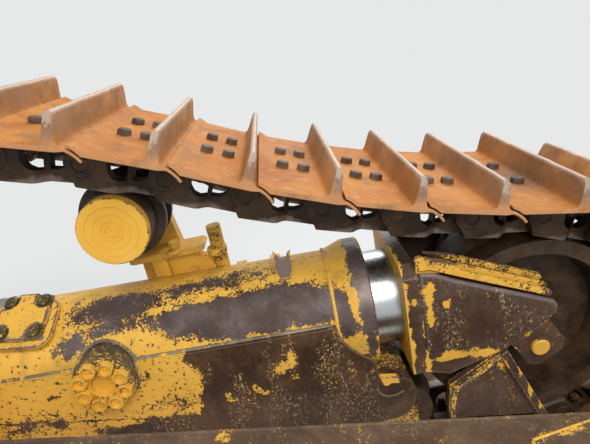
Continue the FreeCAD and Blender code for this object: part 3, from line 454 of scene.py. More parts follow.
tube_profile = (
    (0.322, 0.0), (0.322, 0.135), (0.33, 0.15), (0.348, 0.172), (0.362, TUBE_ROUND - 0.001),
    (0.375, TUBE_ROUND), (MOUTH_X - 0.117, TUBE_ROUND), (MOUTH_X - 0.082, 0.1965),
    (MOUTH_X - 0.053, 0.2075), (MOUTH_X - 0.049, 0.208), (MOUTH_X - 0.004, 0.208),
    (MOUTH_X, 0.2045), (MOUTH_X, BORE + 0.005), (MOUTH_X - 0.005, BORE), (1.12, BORE), (1.12, 0.0),
)
pipe = placed(spun(tube_profile, 144), on_tube_axis)
boss_root = spun_across(((-0.3, 0), (-0.3, 0.09), (-0.684, BOSS_ROUND - 0.001),
                         (-0.689, BOSS_ROUND + 0.001), (-0.6932, BOSS_ROUND - 0.001),
                         (-0.6932, 0)), 72, BOSS_X, BOSS_Z)
tube_rub = marks(pipe)
for vert in pipe.verts:
    on_pipe = on_tube_axis.inverted() @ vert.co
    if MOUTH_X - 0.06 < on_pipe.x < MOUTH_X - 0.045:
        vert[tube_rub] = 0.25
TUBE_STEEL = ((0.06, 0.037, 0.03, 1), (0.15, 0.115, 0.108, 1))
# The tube's pale scuff colour also paints a sheen on its bare steel, and its raised grime darkens
# the yellow with dirt and painted shade.
tube_paint = worn_paint("worn_tube_paint", -0.33, (
    (765, -551, 275, 235, 95, 56, 0.74), (625, -622, 215, 85, 36, 55, 0.64),
    (757, -604, 235, 180, 30, 30, 0.46), (950, -605, 230, 125, 66, 66, 0.7),
    (1200, -625, 208, 345, 115, 94, 1.22), (1110, -545, 286, 270, 80, 36, 0.4),
    (1385, -634, 168, 80, 42, 52, 0.95), (1060, -515, 280, 280, 70, 32, 0.24),
    (905, -578, 254, 85, 18, 14, -0.5), (1389, -510, 268, 48, 55, 28, -0.42),
    (1330, -510, 270, 40, 40, 20, -0.45), (1458, -515, 279, 45, 110, 30, -0.6),
    (1512, -600, 200, 50, 300, 260, 1), (1440, -660, 160, 50, 70, 120, 0.8),
    (1479.5, -640, 200, 22, 60, 110, -1.25), (1454, -674, 66, 36, 30, 38, -1.2),
    (1508, -668, 45, 24, 50, 80, 0.8), (1502, -655, -30, 22, 40, 22, -1),
), rub=0.6, steel=TUBE_STEEL, scuffs_and_sheen=(0.27, 0.25, 0.28, 1), rough=0.31, shine=0.6, pits=0.4,
    flecks=0.35, soiling_and_shade=0.6)
put("recoil_pipe", pipe, tube_paint, "frame_paint", "recoil_tube")
OLIVE_STEEL = ((0.055, 0.04, 0.022, 1), (0.17, 0.14, 0.095, 1))
OLIVE_SCUFFS = (0.4, 0.36, 0.28, 1)
boss_paint = worn_paint("rubbed_boss_paint", 0.1, (
    (720, -680, 30, 200, 100, 100, -0.45), (720, -698, 121, 60, 20, 60, -1.2),
), steel=OLIVE_STEEL, scuffs_and_sheen=OLIVE_SCUFFS, rough=0.4, ragged_edge=0.02)
put("side_boss", boss_root, boss_paint, "frame_paint")

# Welds of the tube: two long seams where it lies in its cradle, a ring behind the flared collar,
# and one round the foot of the side boss. Their crests keep paint that feet can't rub.
SEAM_ANGLE = math.degrees(math.asin(CRADLE_EDGE / TUBE_ROUND))
SEAM = 0.0062
seams = [bead([tube_point(x, angle, 0.002) + Vector((0, 0, 0.002)) for x in (0.36, 1.4)], SEAM)
         for angle in (SEAM_ANGLE, 180 - SEAM_ANGLE)]
collar_ring = bead([tube_point(MOUTH_X - 0.1155, angle, 0.0005) for angle in range(2, 180, 4)],
                   SEAM)


def boss_foot_point(angle, out):
    """A point round the boss where it leaves the box's side or the tube over it."""
    turn = math.radians(angle)
    x, z = BOSS_X + out * math.cos(turn), BOSS_Z + out * math.sin(turn)
    over = z - (TUBE_HEIGHT - math.tan(math.radians(TUBE_LEAN)) * x)
    on_pipe = TRACK_MIDDLE - math.sqrt(max(0.0, TUBE_ROUND ** 2 - over ** 2))
    return x, BOX_SIDE if over < CRADLE_EDGE else on_pipe - 0.002, z


boss_ring = bead([boss_foot_point(angle, BOSS_ROUND + 0.003) for angle in range(0, 361, 6)],
                 0.0056)
bead_paint = worn_paint("weld_bead_paint", 0.14, (
    (1200, -650, 150, 300, 50, 60, 0.1), (1420, -600, 200, 30, 250, 200, -0.62),
    (720, -650, 100, 140, 100, 120, -0.42),
), steel=((0.1, 0.085, 0.06, 1), (0.3, 0.27, 0.22, 1)), scuffs_and_sheen=(0.42, 0.4, 0.36, 1),
    rough=0.42, soiling_and_shade=0.5)
put("tube_welds", joined(*seams, collar_ring, boss_ring), bead_paint, "frame_paint")

# Lug plate: a forked flame-cut plate welded upright on the tube, for a guard that isn't fitted.
def filled(*outlines):
    """A flat face in the xz plane, with the later outlines as holes in the first."""
    mesh = bmesh.new()
    edges = []
    for outline in outlines:
        points = [mesh.verts.new((x, 0, z)) for x, z in outline]
        edges += [mesh.edges.new((points[i - 1], points[i])) for i in range(len(points))]
    bmesh.ops.triangle_fill(mesh, use_beauty=True, use_dissolve=False, edges=edges)
    return mesh


def thickened(mesh, low, high):
    """A flat shape in the xz plane made into a plate from y = low to y = high."""
    bmesh.ops.translate(mesh, verts=mesh.verts, vec=(0, low, 0))
    grown = bmesh.ops.extrude_face_region(mesh, geom=mesh.faces[:])["geom"]
    moved = [item for item in grown if isinstance(item, bmesh.types.BMVert)]
    bmesh.ops.translate(mesh, verts=moved, vec=(0, high - low, 0))
    return faced_out(mesh)


def flame_cut(outline, low, high, corner=0.0015, rub_width=0.0, segments=1):
    """A plate cut to an outline in the xz plane, with rounded, rubbed edges."""
    mesh = flats_joined(thickened(filled(outline), low, high))
    return rounded(mesh, corner, rub_width, segments=segments)


lug_outline = mm([
    (1272, 248), (1306, 247), (1306, 267), (1316, 286), (1316, 316), (1322, 346), (1311, 338),
    (1305, 324), (1284, 326), (1277, 339), (1268, 352), (1271, 316), (1270, 286), (1276, 267)])
lug_paint = worn_paint("worn_lug_paint", 0.34, (
    (1268, -540, 350, 14, 30, 22, -0.9), (1322, -540, 338, 14, 30, 28, -0.9),
), steel=((0.13, 0.1, 0.092, 1), (0.24, 0.195, 0.19, 1)), rub=0.0)
lug_weld = bead([(1.266, -0.548, 0.256), (1.288, -0.551, 0.2535), (1.313, -0.548, 0.254)], 0.004)
put("tube_lug_plate", joined(flame_cut(lug_outline, -0.546, -0.534), lug_weld), lug_paint,
    "frame_paint")

# Boss cap: a castellated ring nut on the tube's side boss, cast with eight petals, each with a
# six-sided pocket for the spanner's pegs. It screws into the boss round an open bore.
CAP_FACE, CAP_BACK = -0.707, -0.6935
PETAL_CIRCLE, SOCKET = 0.0635, 0.034
cap_ring = spun_across(((CAP_BACK, SOCKET), (CAP_FACE - 0.002, SOCKET + 0.001),
                        (CAP_FACE - 0.004, SOCKET + 0.004), (CAP_FACE - 0.003, SOCKET + 0.008),
                        (CAP_FACE + 0.001, SOCKET + 0.014), (CAP_FACE + 0.002, 0.078),
                        (CAP_FACE, 0.082), (CAP_FACE + 0.001, 0.0855), (CAP_FACE + 0.004, 0.087),
                        (CAP_BACK, 0.087)), 64, BOSS_X, BOSS_Z)


def turned_across(angle, x, z, y=0.0, out=0.0):
    """The place of a piece that lies round an axis across the machine, its own z outwards."""
    turn = math.radians(angle)
    return (shift(x + out * math.cos(turn), y, z + out * math.sin(turn)) @ twist(-angle, "Y")
            @ twist(90, "X"))


def cone(segments, low, high, depth, corner=0.0):
    """A capped cone or prism on the xy plane, its top edge rounded."""
    mesh = bmesh.new()
    marks(mesh)
    bmesh.ops.create_cone(mesh, cap_ends=True, segments=segments, radius1=low, radius2=high,
                          depth=depth)
    bmesh.ops.translate(mesh, verts=mesh.verts, vec=(0, 0, depth / 2))
    if corner:
        top = [edge for edge in mesh.edges if min(v.co.z for v in edge.verts) > depth * 0.99]
        bevelled(mesh, top, corner, clamp=False)
    return mesh


def top_face(mesh):
    return max(mesh.faces, key=lambda face: face.calc_center_median().z * 10 + face.calc_area())


petal = cone(7, 0.0252, 0.0236, 0.016, 0.0012)
pocket = top_face(petal)
for thickness, depth in ((0.0042, 0.0), (0.001, -0.0085), (0.0055, -0.0005)):
    bmesh.ops.inset_region(petal, faces=[pocket], thickness=thickness, use_even_offset=True)
    bmesh.ops.translate(petal, verts=pocket.verts, vec=(0, 0, depth))
dimple = cone(6, 0.005, 0.004, 0.0105, 0.001)
lobe = joined(petal, dimple)
petals = placed(lobe, *[turned_across(45 * number + 20, BOSS_X, BOSS_Z, CAP_FACE + 0.0005,
                                      PETAL_CIRCLE) for number in range(8)])
cap_paint = worn_paint("thick_cap_paint", -0.32, (
    (720, -710, 70, 100, 30, 50, 0.16),
), rub=0.24, steel=OLIVE_STEEL, scuffs_and_sheen=OLIVE_SCUFFS, ragged_edge=0.02)
put("castle_cap", petals, cap_paint, "frame_paint")
put("threaded_cap_ring", cap_ring, worn_paint("rubbed_ring_paint", -0.02, (
    (720, -700, 121, 48, 100, 48, -0.8),
), steel=OLIVE_STEEL, scuffs_and_sheen=OLIVE_SCUFFS, ragged_edge=0.006), "frame_paint", "boss_cap")

# Inspection cover: a flame-cut plate with a bite at each corner for a round-headed bolt, on a
# saddle welded to the tube. Its top is pitted by stones and its rim is worn to the metal.
COVER_X, COVER_TURN = 0.49, -6
PAD_TOP, COVER_LOW, COVER_TOP = 0.202, 0.2023, 0.2223
COVER_HALF, BOLT_AT = 0.076, 0.05
on_cover = (on_tube_axis @ shift(COVER_X, 0, 0) @ twist(30, "X") @ shift(0, 0.016, 0)
            @ twist(COVER_TURN, "Z"))


def arc_points(x, z, radius, first, last, count):
    """Points on an arc between two angles in degrees."""
    return [(x + radius * math.cos(math.radians(first + (last - first) * i / (count - 1))),
             z + radius * math.sin(math.radians(first + (last - first) * i / (count - 1))))
            for i in range(count)]


cover_outline = []
for corner in range(4):
    turn = Matrix.Rotation(math.radians(90 * corner), 2)
    bite = [(COVER_HALF, 0.018)] + arc_points(0.057, 0.057, 0.0305, -52, -218, 8) \
        + [(0.018, COVER_HALF)]
    cover_outline += [tuple(turn @ Vector(point)) for point in bite]
lay_flat = twist(90, "X")
cover_plate = placed(thickened(filled(cover_outline), COVER_LOW, COVER_TOP), lay_flat)
rounded(flats_joined(cover_plate), 0.004, 0.004)
base_reach = (COVER_HALF - 0.002) * math.sqrt(2)
cover_base = rounded(placed(cone(4, base_reach, base_reach, 0.007),
                            shift(0, 0, COVER_LOW) @ twist(45, "Z")), 0.003)
washer = spun(mm([
    (0, 0), (0, 25.5), (4, 26.5), (6.2, 25.5), (7, 21), (6, 19), (16, 17.8), (19, 15), (19, 8.5),
    (16.5, 7), (16.5, 0)]), 28)
placed(washer, twist(-90, "Y"))
cover_bolts = placed(washer, *[shift(BOLT_AT * a, BOLT_AT * b, COVER_LOW + 0.0068)
                               for a in (-1, 1) for b in (-1, 1)])
cover_paint = worn_paint("pitted_cover_paint", -0.26, (
    (500, -655, 260, 100, 30, 50, 0.35),
), rub=0.42, steel=((0.075, 0.06, 0.062, 1), (0.2, 0.165, 0.165, 1)), pits=0.34)
bolt_paint = worn_paint("dull_bolt_paint", 0.22, (), rub=0.2,
                        steel=((0.045, 0.035, 0.014, 1), (0.14, 0.115, 0.055, 1)), soiling_and_shade=0.7)
put("bolted_cover", placed(joined(cover_plate, cover_base), on_cover), cover_paint,
    "frame_paint", "inspection_cover")
put("cover_bolts", placed(cover_bolts, on_cover), bolt_paint, "frame_paint")
saddle_outline = []
for x, y, first in ((0.049, 0.023, 0), (-0.049, 0.023, 90), (-0.049, -0.049, 180),
                    (0.049, -0.049, 270)):
    saddle_outline += arc_points(x, -y, 0.045, -first, -first - 90, 7)
saddle = joined(
    rounded(placed(thickened(filled(saddle_outline), 0.186, PAD_TOP), lay_flat), 0.005, 0.004),
    placed(thickened(filled([(x * 0.955, z * 0.955) for x, z in saddle_outline]), 0.12, 0.188),
           lay_flat))
put("cover_saddle", placed(saddle, on_cover), cover_paint, "frame_paint", "cover_pad")

# Piston of the recoil tube: a chromed rod, ground and polished, that pushes the fork forward.
PISTON_ROUND = 0.154
piston_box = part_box("recoil_piston")


def sliced(mesh, point, normal, **settings):
    """Cut a mesh along the plane through a point."""
    bmesh.ops.bisect_plane(mesh, geom=mesh.verts[:] + mesh.edges[:] + mesh.faces[:],
                           plane_co=point, plane_no=normal, **settings)


chrome, chrome_shader, chrome_place, _ = new_material("ground_chrome")
scratch = chrome_place.stretched((6.0, 1.0, 1.0)).noise(60.0, 5.0, 0.7).between(0.45, 0.75)
oil = chrome_place.noise(7.0, 5.0, 0.6).between(0.46, 0.66)
set_shader(chrome_shader, Base_Color=(oil * 0.5).mix((0.49, 0.52, 0.54, 1), (0.25, 0.27, 0.23, 1)),
           Metallic=1.0, Roughness=scratch * 0.08 + oil * 0.1 + 0.26)
piston = placed(spun(((1.14, 0), (1.14, PISTON_ROUND), (1.64, PISTON_ROUND), (1.64, 0)), 144),
                on_tube_axis)
sliced(piston, (piston_box[1].x, 0, 0), (1, 0, 0), clear_outer=True)
bmesh.ops.holes_fill(piston, edges=[edge for edge in piston.edges if edge.is_boundary])
put("chromed_piston", piston, chrome, "bright_steel", "recoil_piston")

# Front fork: an upright plate on the piston and two arms out to the idler's axle, welded from thick
# plate with doubled cheeks and capping strips on top. Its sides are worn to smooth brown steel, and
# paint stays on the plate's sheltered back and between the strips.
FORK_STEEL = ((0.048, 0.023, 0.013, 1), (0.118, 0.07, 0.046, 1))
FORK_SCUFFS = (0.24, 0.19, 0.18, 1)
FORK_SIDE = 0.2
FORK_FACE = -672
fork_paint = worn_paint("worn_fork_paint", 0.42, (
    (1610, -470, 60, 25, 600, 600, -2.6),
    *on_side(FORK_FACE, 30, (1690, 185, 20, 62, -1.05), (1692, 110, 16, 45, -1),
        (1735, 147, 18, 18, -0.95), (1642, 155, 12, 20, -0.75), (1668, 20, 6, 180, -0.65),
        (1760, -52, 110, 26, -0.95), (1850, -70, 60, 24, -1), (1672, -75, 20, 60, -0.75)),
    (1860, -470, 215, 400, 100, 110, -0.45),
), rub=-0.12, steel=FORK_STEEL, scuffs_and_sheen=FORK_SCUFFS, flecks=0.5, tan=0.4, rough=0.32)
put_copy("welded_fork", "front_fork", 0.006, 0.007, fork_paint, "fork_paint")
cheek_outline = mm([
    (1667, -16), (1720, -21), (1775, -29), (1850, -36), (1872, -46), (1893, -52), (1925, -40),
    (2052, 22), (2068, 40), (2068, 62), (2056, 80), (1770, 213), (1712, 246), (1667, 254)])
strip_outline = mm([
    (1668, 256), (1700, 254), (1765, 222), (2050, 86), (2058, 94), (2052, 108), (1772, 240),
    (1705, 272), (1668, 268)])


def both_sides(mesh):
    """A shape made beside the track's middle, and its mirror image on the other side."""
    return faced_out(placed(mesh, *[shift(0, TRACK_MIDDLE, 0) @ Matrix.Diagonal((1, side, 1, 1))
                                    for side in (1, -1)]))


cheek = flame_cut(cheek_outline, -FORK_SIDE - 0.008, -FORK_SIDE + 0.006, 0.012, 0.006, 3)
cheek_highlight_and_rub = marks(cheek)
# Only the top edge keeps its full rub mark, so the cheeks' bluish scuff colour paints a highlight
# along that rounded edge; the lower edges keep a quarter.
for vert in cheek.verts:
    if vert.co.z < 0.215 - (vert.co.x - 1.712) * 0.517:
        vert[cheek_highlight_and_rub] *= 0.25
rails = [flame_cut([(x, min(z + lift, 0.284)) for x, z in strip_outline if x > start],
                   low, low + 0.013, 0.002, 0.003)
         for low, lift, start in ((-0.194, 0, 1.6), (-0.166, 0.009, 1.6), (-0.138, 0.024, 1.69))]
web = flame_cut(mm([
    (1663, 245), (1663, 296), (1680, 300), (1790, 238), (1790, 222)]),
    -0.187, -0.176, 0.002, 0.003)
# The bluish scuff colour is a painted highlight on the rubbed top edge.
cheek_paint = worn_paint("fork_cheek_paint", 0.42, (
    *on_side(FORK_FACE, 30, (1690, 185, 24, 70, -1.05), (1692, 110, 19, 50, -1),
        (1735, 147, 21, 21, -0.95)),
), rub=0.1, steel=FORK_STEEL, scuffs_and_sheen=(0.3, 0.27, 0.32, 1), flecks=0.45, tan=0.75, rough=0.24,
    shine=0.55)
put("fork_cheeks", both_sides(cheek), cheek_paint, "fork_paint")
strip_paint = worn_paint("fork_strip_paint", -0.2, (
    (1740, -620, 280, 120, 50, 70, 0.2), (2060, -660, 100, 50, 100, 80, 0.2),
    (1700, -630, 280, 80, 50, 50, 0.12), (1860, -606, 210, 400, 22, 200, 0.16),
), rub=0.1, steel=FORK_STEEL, soiling_and_shade=0.55)
put("fork_strips", both_sides(joined(*rails, web)), strip_paint, "fork_paint")
guard_paint = worn_paint("worn_guard_paint", 0.38, (
    *on_side(-665, 40, (1735, -230, 22, 120, -0.5), (1900, -130, 30, 40, -0.42)),
    *on_side(-673, 50, (1950, -145, 13, 55, -0.75), (1982, -225, 13, 60, -0.75),
        (2016, -300, 13, 50, -0.7)),
), rub=-0.3, steel=FORK_STEEL, scuffs_and_sheen=FORK_SCUFFS, flecks=0.3, rough=0.4, ragged_edge=0.02)
rib_paint = worn_paint("worn_rib_paint", 0.02, (), rub=0.05, steel=FORK_STEEL,
                       scuffs_and_sheen=(0.42, 0.36, 0.33, 1), rough=0.36)
rib = flame_cut(mm([
    (1732, -189), (1740, -198), (1756, -190), (1893, -101), (1893, -84), (1884, -90)]),
    -0.209, -0.19, 0.003, 0.004)
rib_foot = flame_cut(mm([
    (1728, -190), (1740, -190), (1740, -322), (1722, -318)]),
    -0.203, -0.193, 0.002, 0.003)
put_copy("fork_side_guards", "fork_guards", 0.003, 0.005, guard_paint, "fork_paint")
put("guard_ribs", both_sides(joined(rib, rib_foot)), rib_paint, "fork_paint")
axle_paint = worn_paint("worn_axle_paint", 0.34, (
    *on_side(-674, 30, (1960, -10, 70, 30, -0.5), (1935, -80, 22, 40, -0.5)),
), rub=-0.12, steel=FORK_STEEL, flecks=0.3, rough=0.42)
put_copy("front_axle_blocks", "front_idler_axle", 0.004, 0.005, axle_paint, "fork_paint")
axle_plug = spun_across(mm([
    (-686, 0), (-685.5, 10), (-686.2, 14), (-685.8, 24), (-683, 27.5), (-670, 28.5), (-670, 0)]),
    36, 2.014, -0.079)
plug_paint = worn_paint("plug_paint", -0.3, (), rub=0.2)
put("front_axle_plug", axle_plug, plug_paint, "fork_paint")

# Nose of the roller frame: a cap strip with a cast foot that closes the frame under the piston.
nose_cap = flame_cut(mm([
    (1512, -79), (1570, -91), (1576, -97), (1573, -118), (1548, -113), (1533, -120), (1521, -115)]),
    -0.673, -0.652, 0.003, 0.003)
nose_weld = bead([(x, BOX_SIDE, z) for x, z in mm([
    (1499, -118), (1508, -146), (1530, -163), (1560, -162), (1585, -150)])], 0.0042)
front_cheek = flame_cut(mm([
    (1392, 133), (1402, 129), (1410, 118), (1417, 95), (1428, 68), (1448, 38), (1479, 9),
    (1503, -10), (1511, -26), (1514, -86), (1506, -128), (1392, -128)]),
    -0.6705, -0.66, 0.003, 0.004)
nose_paint = worn_paint("sheltered_nose_paint", -0.26, paint=(0.74, 0.34, 0.045, 1))
put("frame_nose_cap", nose_cap, nose_paint, "frame_paint")
put("frame_front_cheek", front_cheek, frame_paint, "frame_paint")
put("frame_nose_weld", nose_weld, bead_paint, "frame_paint")

# Carrier roller under the upper run: a cast roller on a stub shaft, with an enamelled end cap that
# has turned grooves, on a stand with a thin shelf, a web, a bolt and a pipe post under it.
CARRIER_X = 0.868


def middle_of(node):
    """The x and z of the middle of a node's box."""
    low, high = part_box(node)
    return (low.x + high.x) / 2, (low.z + high.z) / 2


CARRIER_Z = middle_of("carrier_cap")[1]
end_cap = spun_across(mm([
    (-603, 0), (-603, 96.8), (-629, 96.8), (-632.5, 94.5), (-633.5, 90), (-633.5, 73.5),
    (-631.9, 72.9), (-631.9, 71.1), (-633.5, 70.5), (-633.5, 50.5), (-632.2, 50), (-632.2, 48.8),
    (-633.5, 48.3), (-633.3, 31), (-631.6, 30.2), (-631.6, 28.3), (-633.4, 27.5), (-633.4, 20),
    (-631.8, 19), (-631.8, 17.5), (-634.5, 16), (-634.6, 5), (-633, 3.5), (-633, 0)]),
    96, CARRIER_X, CARRIER_Z)
end_cap_rub = marks(end_cap)
for vert in end_cap.verts:
    away = math.hypot(vert.co.x - CARRIER_X, vert.co.z - CARRIER_Z)
    vert[end_cap_rub] = away > 0.094 and vert.co.y < -0.625
cap_yellow = worn_paint("bright_cap_paint", -0.44, (), rub=0.36, paint=(0.7, 0.375, 0.035, 1),
                        steel=((0.03, 0.02, 0.012, 1), (0.1, 0.08, 0.05, 1)), soiling_and_shade=0.12)
put("roller_end_cap", end_cap, cap_yellow, "frame_paint", "carrier_cap")
SHELF_Z = CARRIER_Z - 0.194
shelf_washer = placed(cone(20, 0.025, 0.025, 0.005, 0.001), shift(0.946, -0.409, SHELF_Z + 0.009))
post_collar = placed(spun(mm([
    (0, 20), (0, 31), (4, 33), (18, 33), (22, 31), (22, 20)]), 32),
    shift(1.082, -0.391, SHELF_Z - 0.03) @ twist(-90, "Y"))
# The stand's raised grime is painted shade: it darkens the whole stand, which stands under the
# roller.
shaded_stand_enamel = worn_paint("sheltered_shaded_stand_paint", -0.3, (
    (1082, -391, 340, 50, 60, 140, 0.22), (946, -409, 380, 40, 50, 40, 0.22),
), rub=0.18, steel=((0.045, 0.035, 0.016, 1), (0.13, 0.1, 0.05, 1)), soiling_and_shade=0.55)
put("carrier_stand", joined(rounded_copy("carrier_bracket", 0.003, 0.004), shelf_washer,
                            post_collar), shaded_stand_enamel, "frame_paint", "carrier_bracket")

# Trunnion of the push arm: a neck on a foot plate, a hardened pin and a turned end cap, whose six
# screws sit in a groove so that stones pass them by.
trunnion_paint = worn_paint("trunnion_paint", -0.3)
put_copy("arm_trunnion", "trunnion", 0.003, 0.005, trunnion_paint, "frame_paint")
TRUNNION_X, TRUNNION_Z = 0.215, 0.066


def hex_bolt(radius, tall, washer_tall=0.0):
    """A bolt head on the xy plane, on a round washer where its height is given."""
    head = placed(cone(6, radius, radius, tall, radius * 0.12), shift(0, 0, washer_tall))
    if washer_tall:
        return joined(head, cone(18, radius * 1.25, radius * 1.25, washer_tall, washer_tall * 0.3))
    return head


CAP_RECESS = -1.0885
stepped_cap = spun_across(((-1.0763, 0), (-1.0763, 0.088), (-1.088, 0.088), (-1.0975, 0.079),
                           (-1.0975, 0.0735), (CAP_RECESS, 0.072), (CAP_RECESS, 0.04),
                           (-1.0955, 0.038), (-1.0965, 0.036), (-1.0965, 0)), 72,
                          TRUNNION_X, TRUNNION_Z)
cap_screws = placed(hex_bolt(0.011, 0.008), *[
    turned_across(60 * number, TRUNNION_X, TRUNNION_Z, CAP_RECESS, 0.056) for number in range(6)])
put("trunnion_end_cap", joined(rounded(stepped_cap, 0.0006), cap_screws),
    trunnion_paint, "frame_paint", "trunnion_cap")

# Push arm: a long welded box from the trunnion to the blade. Boots and stones have worn its top
# brown, and its welds and sides keep most of their paint.
arm_paint = worn_paint("worn_arm_paint", -0.2, (
    (1087, -912, 48, 50, 40, 30, -0.4), (1925, -955, -118, 120, 20, 30, -0.55),
), lambda place: ((place.axis(2) + place.axis(0) * 0.174 - 0.17).between(-0.022, 0.012) * 0.6
                  + (place.axis(0) * -1.0).between(-0.6, 0.1) * -0.12), rub=0.16,
    steel=((0.085, 0.05, 0.03, 1), (0.2, 0.13, 0.085, 1)), flecks=0.4, tan=0.5, rough=0.45)
ARM_TOP = 0.19
ARM_START = 0.365
ARM_FALL = 463 / 2350
ARM_MIDDLE = -0.98


def on_arm_top(x, y, out=0.0):
    """A point on the arm's upper face."""
    return x, y, ARM_TOP - (x - ARM_START) * ARM_FALL + out


arm_welds = [bead([on_arm_top(x, y, -0.001) for x in (0.4, 2.66)], 0.005)
             for y in (ARM_MIDDLE + 0.0825, ARM_MIDDLE - 0.0825)]
arm_tilt = shift(*on_arm_top(1.9, ARM_MIDDLE)) @ twist(math.degrees(math.atan(ARM_FALL)), "Y")
doubler = placed(flame_cut(mm([
    (-75, 2), (110, -52), (700, -52), (720, -35), (720, 35), (700, 52), (-55, 52), (-75, 30)]),
    -0.002, 0.006, 0.002, 0.004), arm_tilt @ lay_flat)
doubler_weld = bead([arm_tilt @ Vector((x, y, 0.003)) for x, y in
                     ((0.68, 0.0535), (0.111, 0.0535), (-0.077, -0.001), (-0.077, -0.034))], 0.006)
put("welded_push_arm", joined(rounded_copy("push_arm", 0.009, 0.008), doubler, *arm_welds),
    arm_paint, "arm_paint", "push_arm", body="push_arm")
put("arm_doubler_weld", doubler_weld, strip_paint, "arm_paint", body="push_arm")

# Bogies: four rocking carriers under the frame, each with two cheeks and two roller axles, caked
# with dried earth over what is left of their paint.
bogie_paint = worn_paint("dirty_bogie_paint", 0.04, paint=(0.42, 0.24, 0.045, 1),
                         steel=((0.06, 0.038, 0.022, 1), (0.17, 0.115, 0.07, 1)), soiling_and_shade=0.8,
                         rough=0.55)
for number in (1, 2, 3, 4):
    node = "bogie_%d" % number
    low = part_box(node)[0]
    heads = placed(hex_bolt(0.013, 0.009, 0.003), *[
        turned_across(0, middle_of(node)[0] + x, low.z + 0.1, low.y + 0.0005)
        for x in (-0.055, 0.055)])
    put("rocking_" + node, joined(rounded_copy(node, 0.003, 0.004), heads), bogie_paint,
        "bogie_paint", node)


# Wheels of the track: rollers and idlers, cast and hardened, dark with oil and earth, polished
# bright where the links roll on them. The idlers have screwed hub covers.
def cast_steel(name, dark, light, shine, roughness=0.55, glow=0.85):
    """Dark cast steel, blotched with oil and rust, polished where the rub mark says."""
    material, shader, place, rubbed = new_material(name)
    blotch = place.noise(12.0, 7.0, 0.65).between(0.35, 0.68)
    grit = place.noise(90.0, 6.0, 0.7)
    rusty = place.noise(19.0, 6.0, 0.7).between(0.54, 0.72)
    polish = (rubbed * 1.2 + grit - 0.65).between(0.0, 0.5)
    tone = (rusty * 0.35).mix(blotch.mix(dark, light), (0.15, 0.06, 0.022, 1))
    height = place.noise(48.0, 8.0, 0.65)
    set_shader(shader, Specular_IOR_Level=0.28, Base_Color=polish.mix(tone, shine),
               Metallic=polish * glow,
               Roughness=roughness - polish * 0.22 + grit * 0.12,
               Normal=height.bumped(0.4, 0.0018))
    return material


def coat(node, material):
    """Give a CAD node that stays as it is its own material."""
    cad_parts[node].data.materials.clear()
    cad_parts[node].data.materials.append(material)


wheel_steel = cast_steel("cast_wheel_steel", (0.024, 0.013, 0.006, 1), (0.07, 0.042, 0.024, 1),
                         (0.42, 0.38, 0.36, 1), 0.42)
for node in sorted(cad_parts):
    if node.startswith("track_roller") or node.endswith("_idler") or node == "carrier_roller":
        coat(node, wheel_steel)
idler_bolts = []
for node in ("front_idler", "rear_idler"):
    idler_bolts += [turned_across(45 * number, *middle_of(node), -0.112, 0.09)
                    for number in range(8)]
put("idler_cover_screws", both_sides(placed(hex_bolt(0.01, 0.008), *idler_bolts)), wheel_steel,
    "wheel_steel")
put_copy("rear_axle_blocks", "rear_idler_axle", 0.004, 0.005, axle_paint, "fork_paint")

# Tail of the roller frame with the cheeks of the rear idler, and the equalizer bar's bracket on
# the machine's side: heavy plate, welded and painted with the frame.
tail_paint = worn_paint("chipped_tail_paint", -0.27, (), rub=0.25, pits=0.34, soiling_and_shade=0.5)
put_copy("frame_tail", "rear_fork", 0.005, 0.006, tail_paint, "frame_paint")
ears = rounded_copy("equalizer_bracket", 0.004, 0.005)
for vert in ears.verts:
    vert.co.z = min(vert.co.z, 0.1 + (vert.co.z - 0.1) * 0.3)
put("equalizer_ears", ears, tail_paint, "frame_paint", "equalizer_bracket")

# Raised final drive: a stepped cast housing with a screwed cover, and round it a dished hub to
# which five rolled segments of teeth are bolted. The bushings keep the teeth's hollows bright.
DRIVE_X, DRIVE_Z = -0.42, 0.765
TOOTH_ROOT = 0.395
tooth_steel = cast_steel("rolled_tooth_steel", (0.06, 0.032, 0.018, 1), (0.15, 0.078, 0.042, 1),
                         (0.45, 0.4, 0.37, 1))
for number in range(1, 6):
    node = "sprocket_segment_%d" % number
    piece = rounded_copy(node, 0.003, 0.0)
    tooth_rub = marks(piece)
    for vert in piece.verts:
        away = math.hypot(vert.co.x - DRIVE_X, vert.co.z - DRIVE_Z)
        vert[tooth_rub] = 0.9 if away > TOOTH_ROOT else 0.0
    put("toothed_segment_%d" % number, piece, tooth_steel, "tooth_steel", node)
segment_bolts = [turned_across(14.4 * number + 3, DRIVE_X, DRIVE_Z, TRACK_MIDDLE - 0.0378, 0.366)
                 for number in range(25)]
put("segment_bolts", placed(hex_bolt(0.015, 0.012, 0.003), *segment_bolts), tooth_steel,
    "tooth_steel")
drive_paint = worn_paint("drive_paint", -0.31, (), rub=0.25, soiling_and_shade=0.45)
put_copy("drive_hub", "sprocket_hub", 0.003, 0.005, drive_paint, "frame_paint")
put_copy("drive_housing", "final_drive", 0.004, 0.006, drive_paint, "frame_paint")
cover_screws = [turned_across(30 * number, DRIVE_X, DRIVE_Z, TRACK_MIDDLE - 0.1165, 0.132)
                for number in range(12)]
cover_screws += [turned_across(22.5 * number, DRIVE_X, DRIVE_Z, TRACK_MIDDLE - 0.0595, 0.243)
                 for number in range(16)]
drain_plug = placed(hex_bolt(0.024, 0.016, 0.004),
                    turned_across(-60, DRIVE_X, DRIVE_Z, TRACK_MIDDLE - 0.1175, 0.07))
put("drive_bolts", joined(placed(hex_bolt(0.012, 0.01, 0.002), *cover_screws), drain_plug),
    drive_paint, "frame_paint")

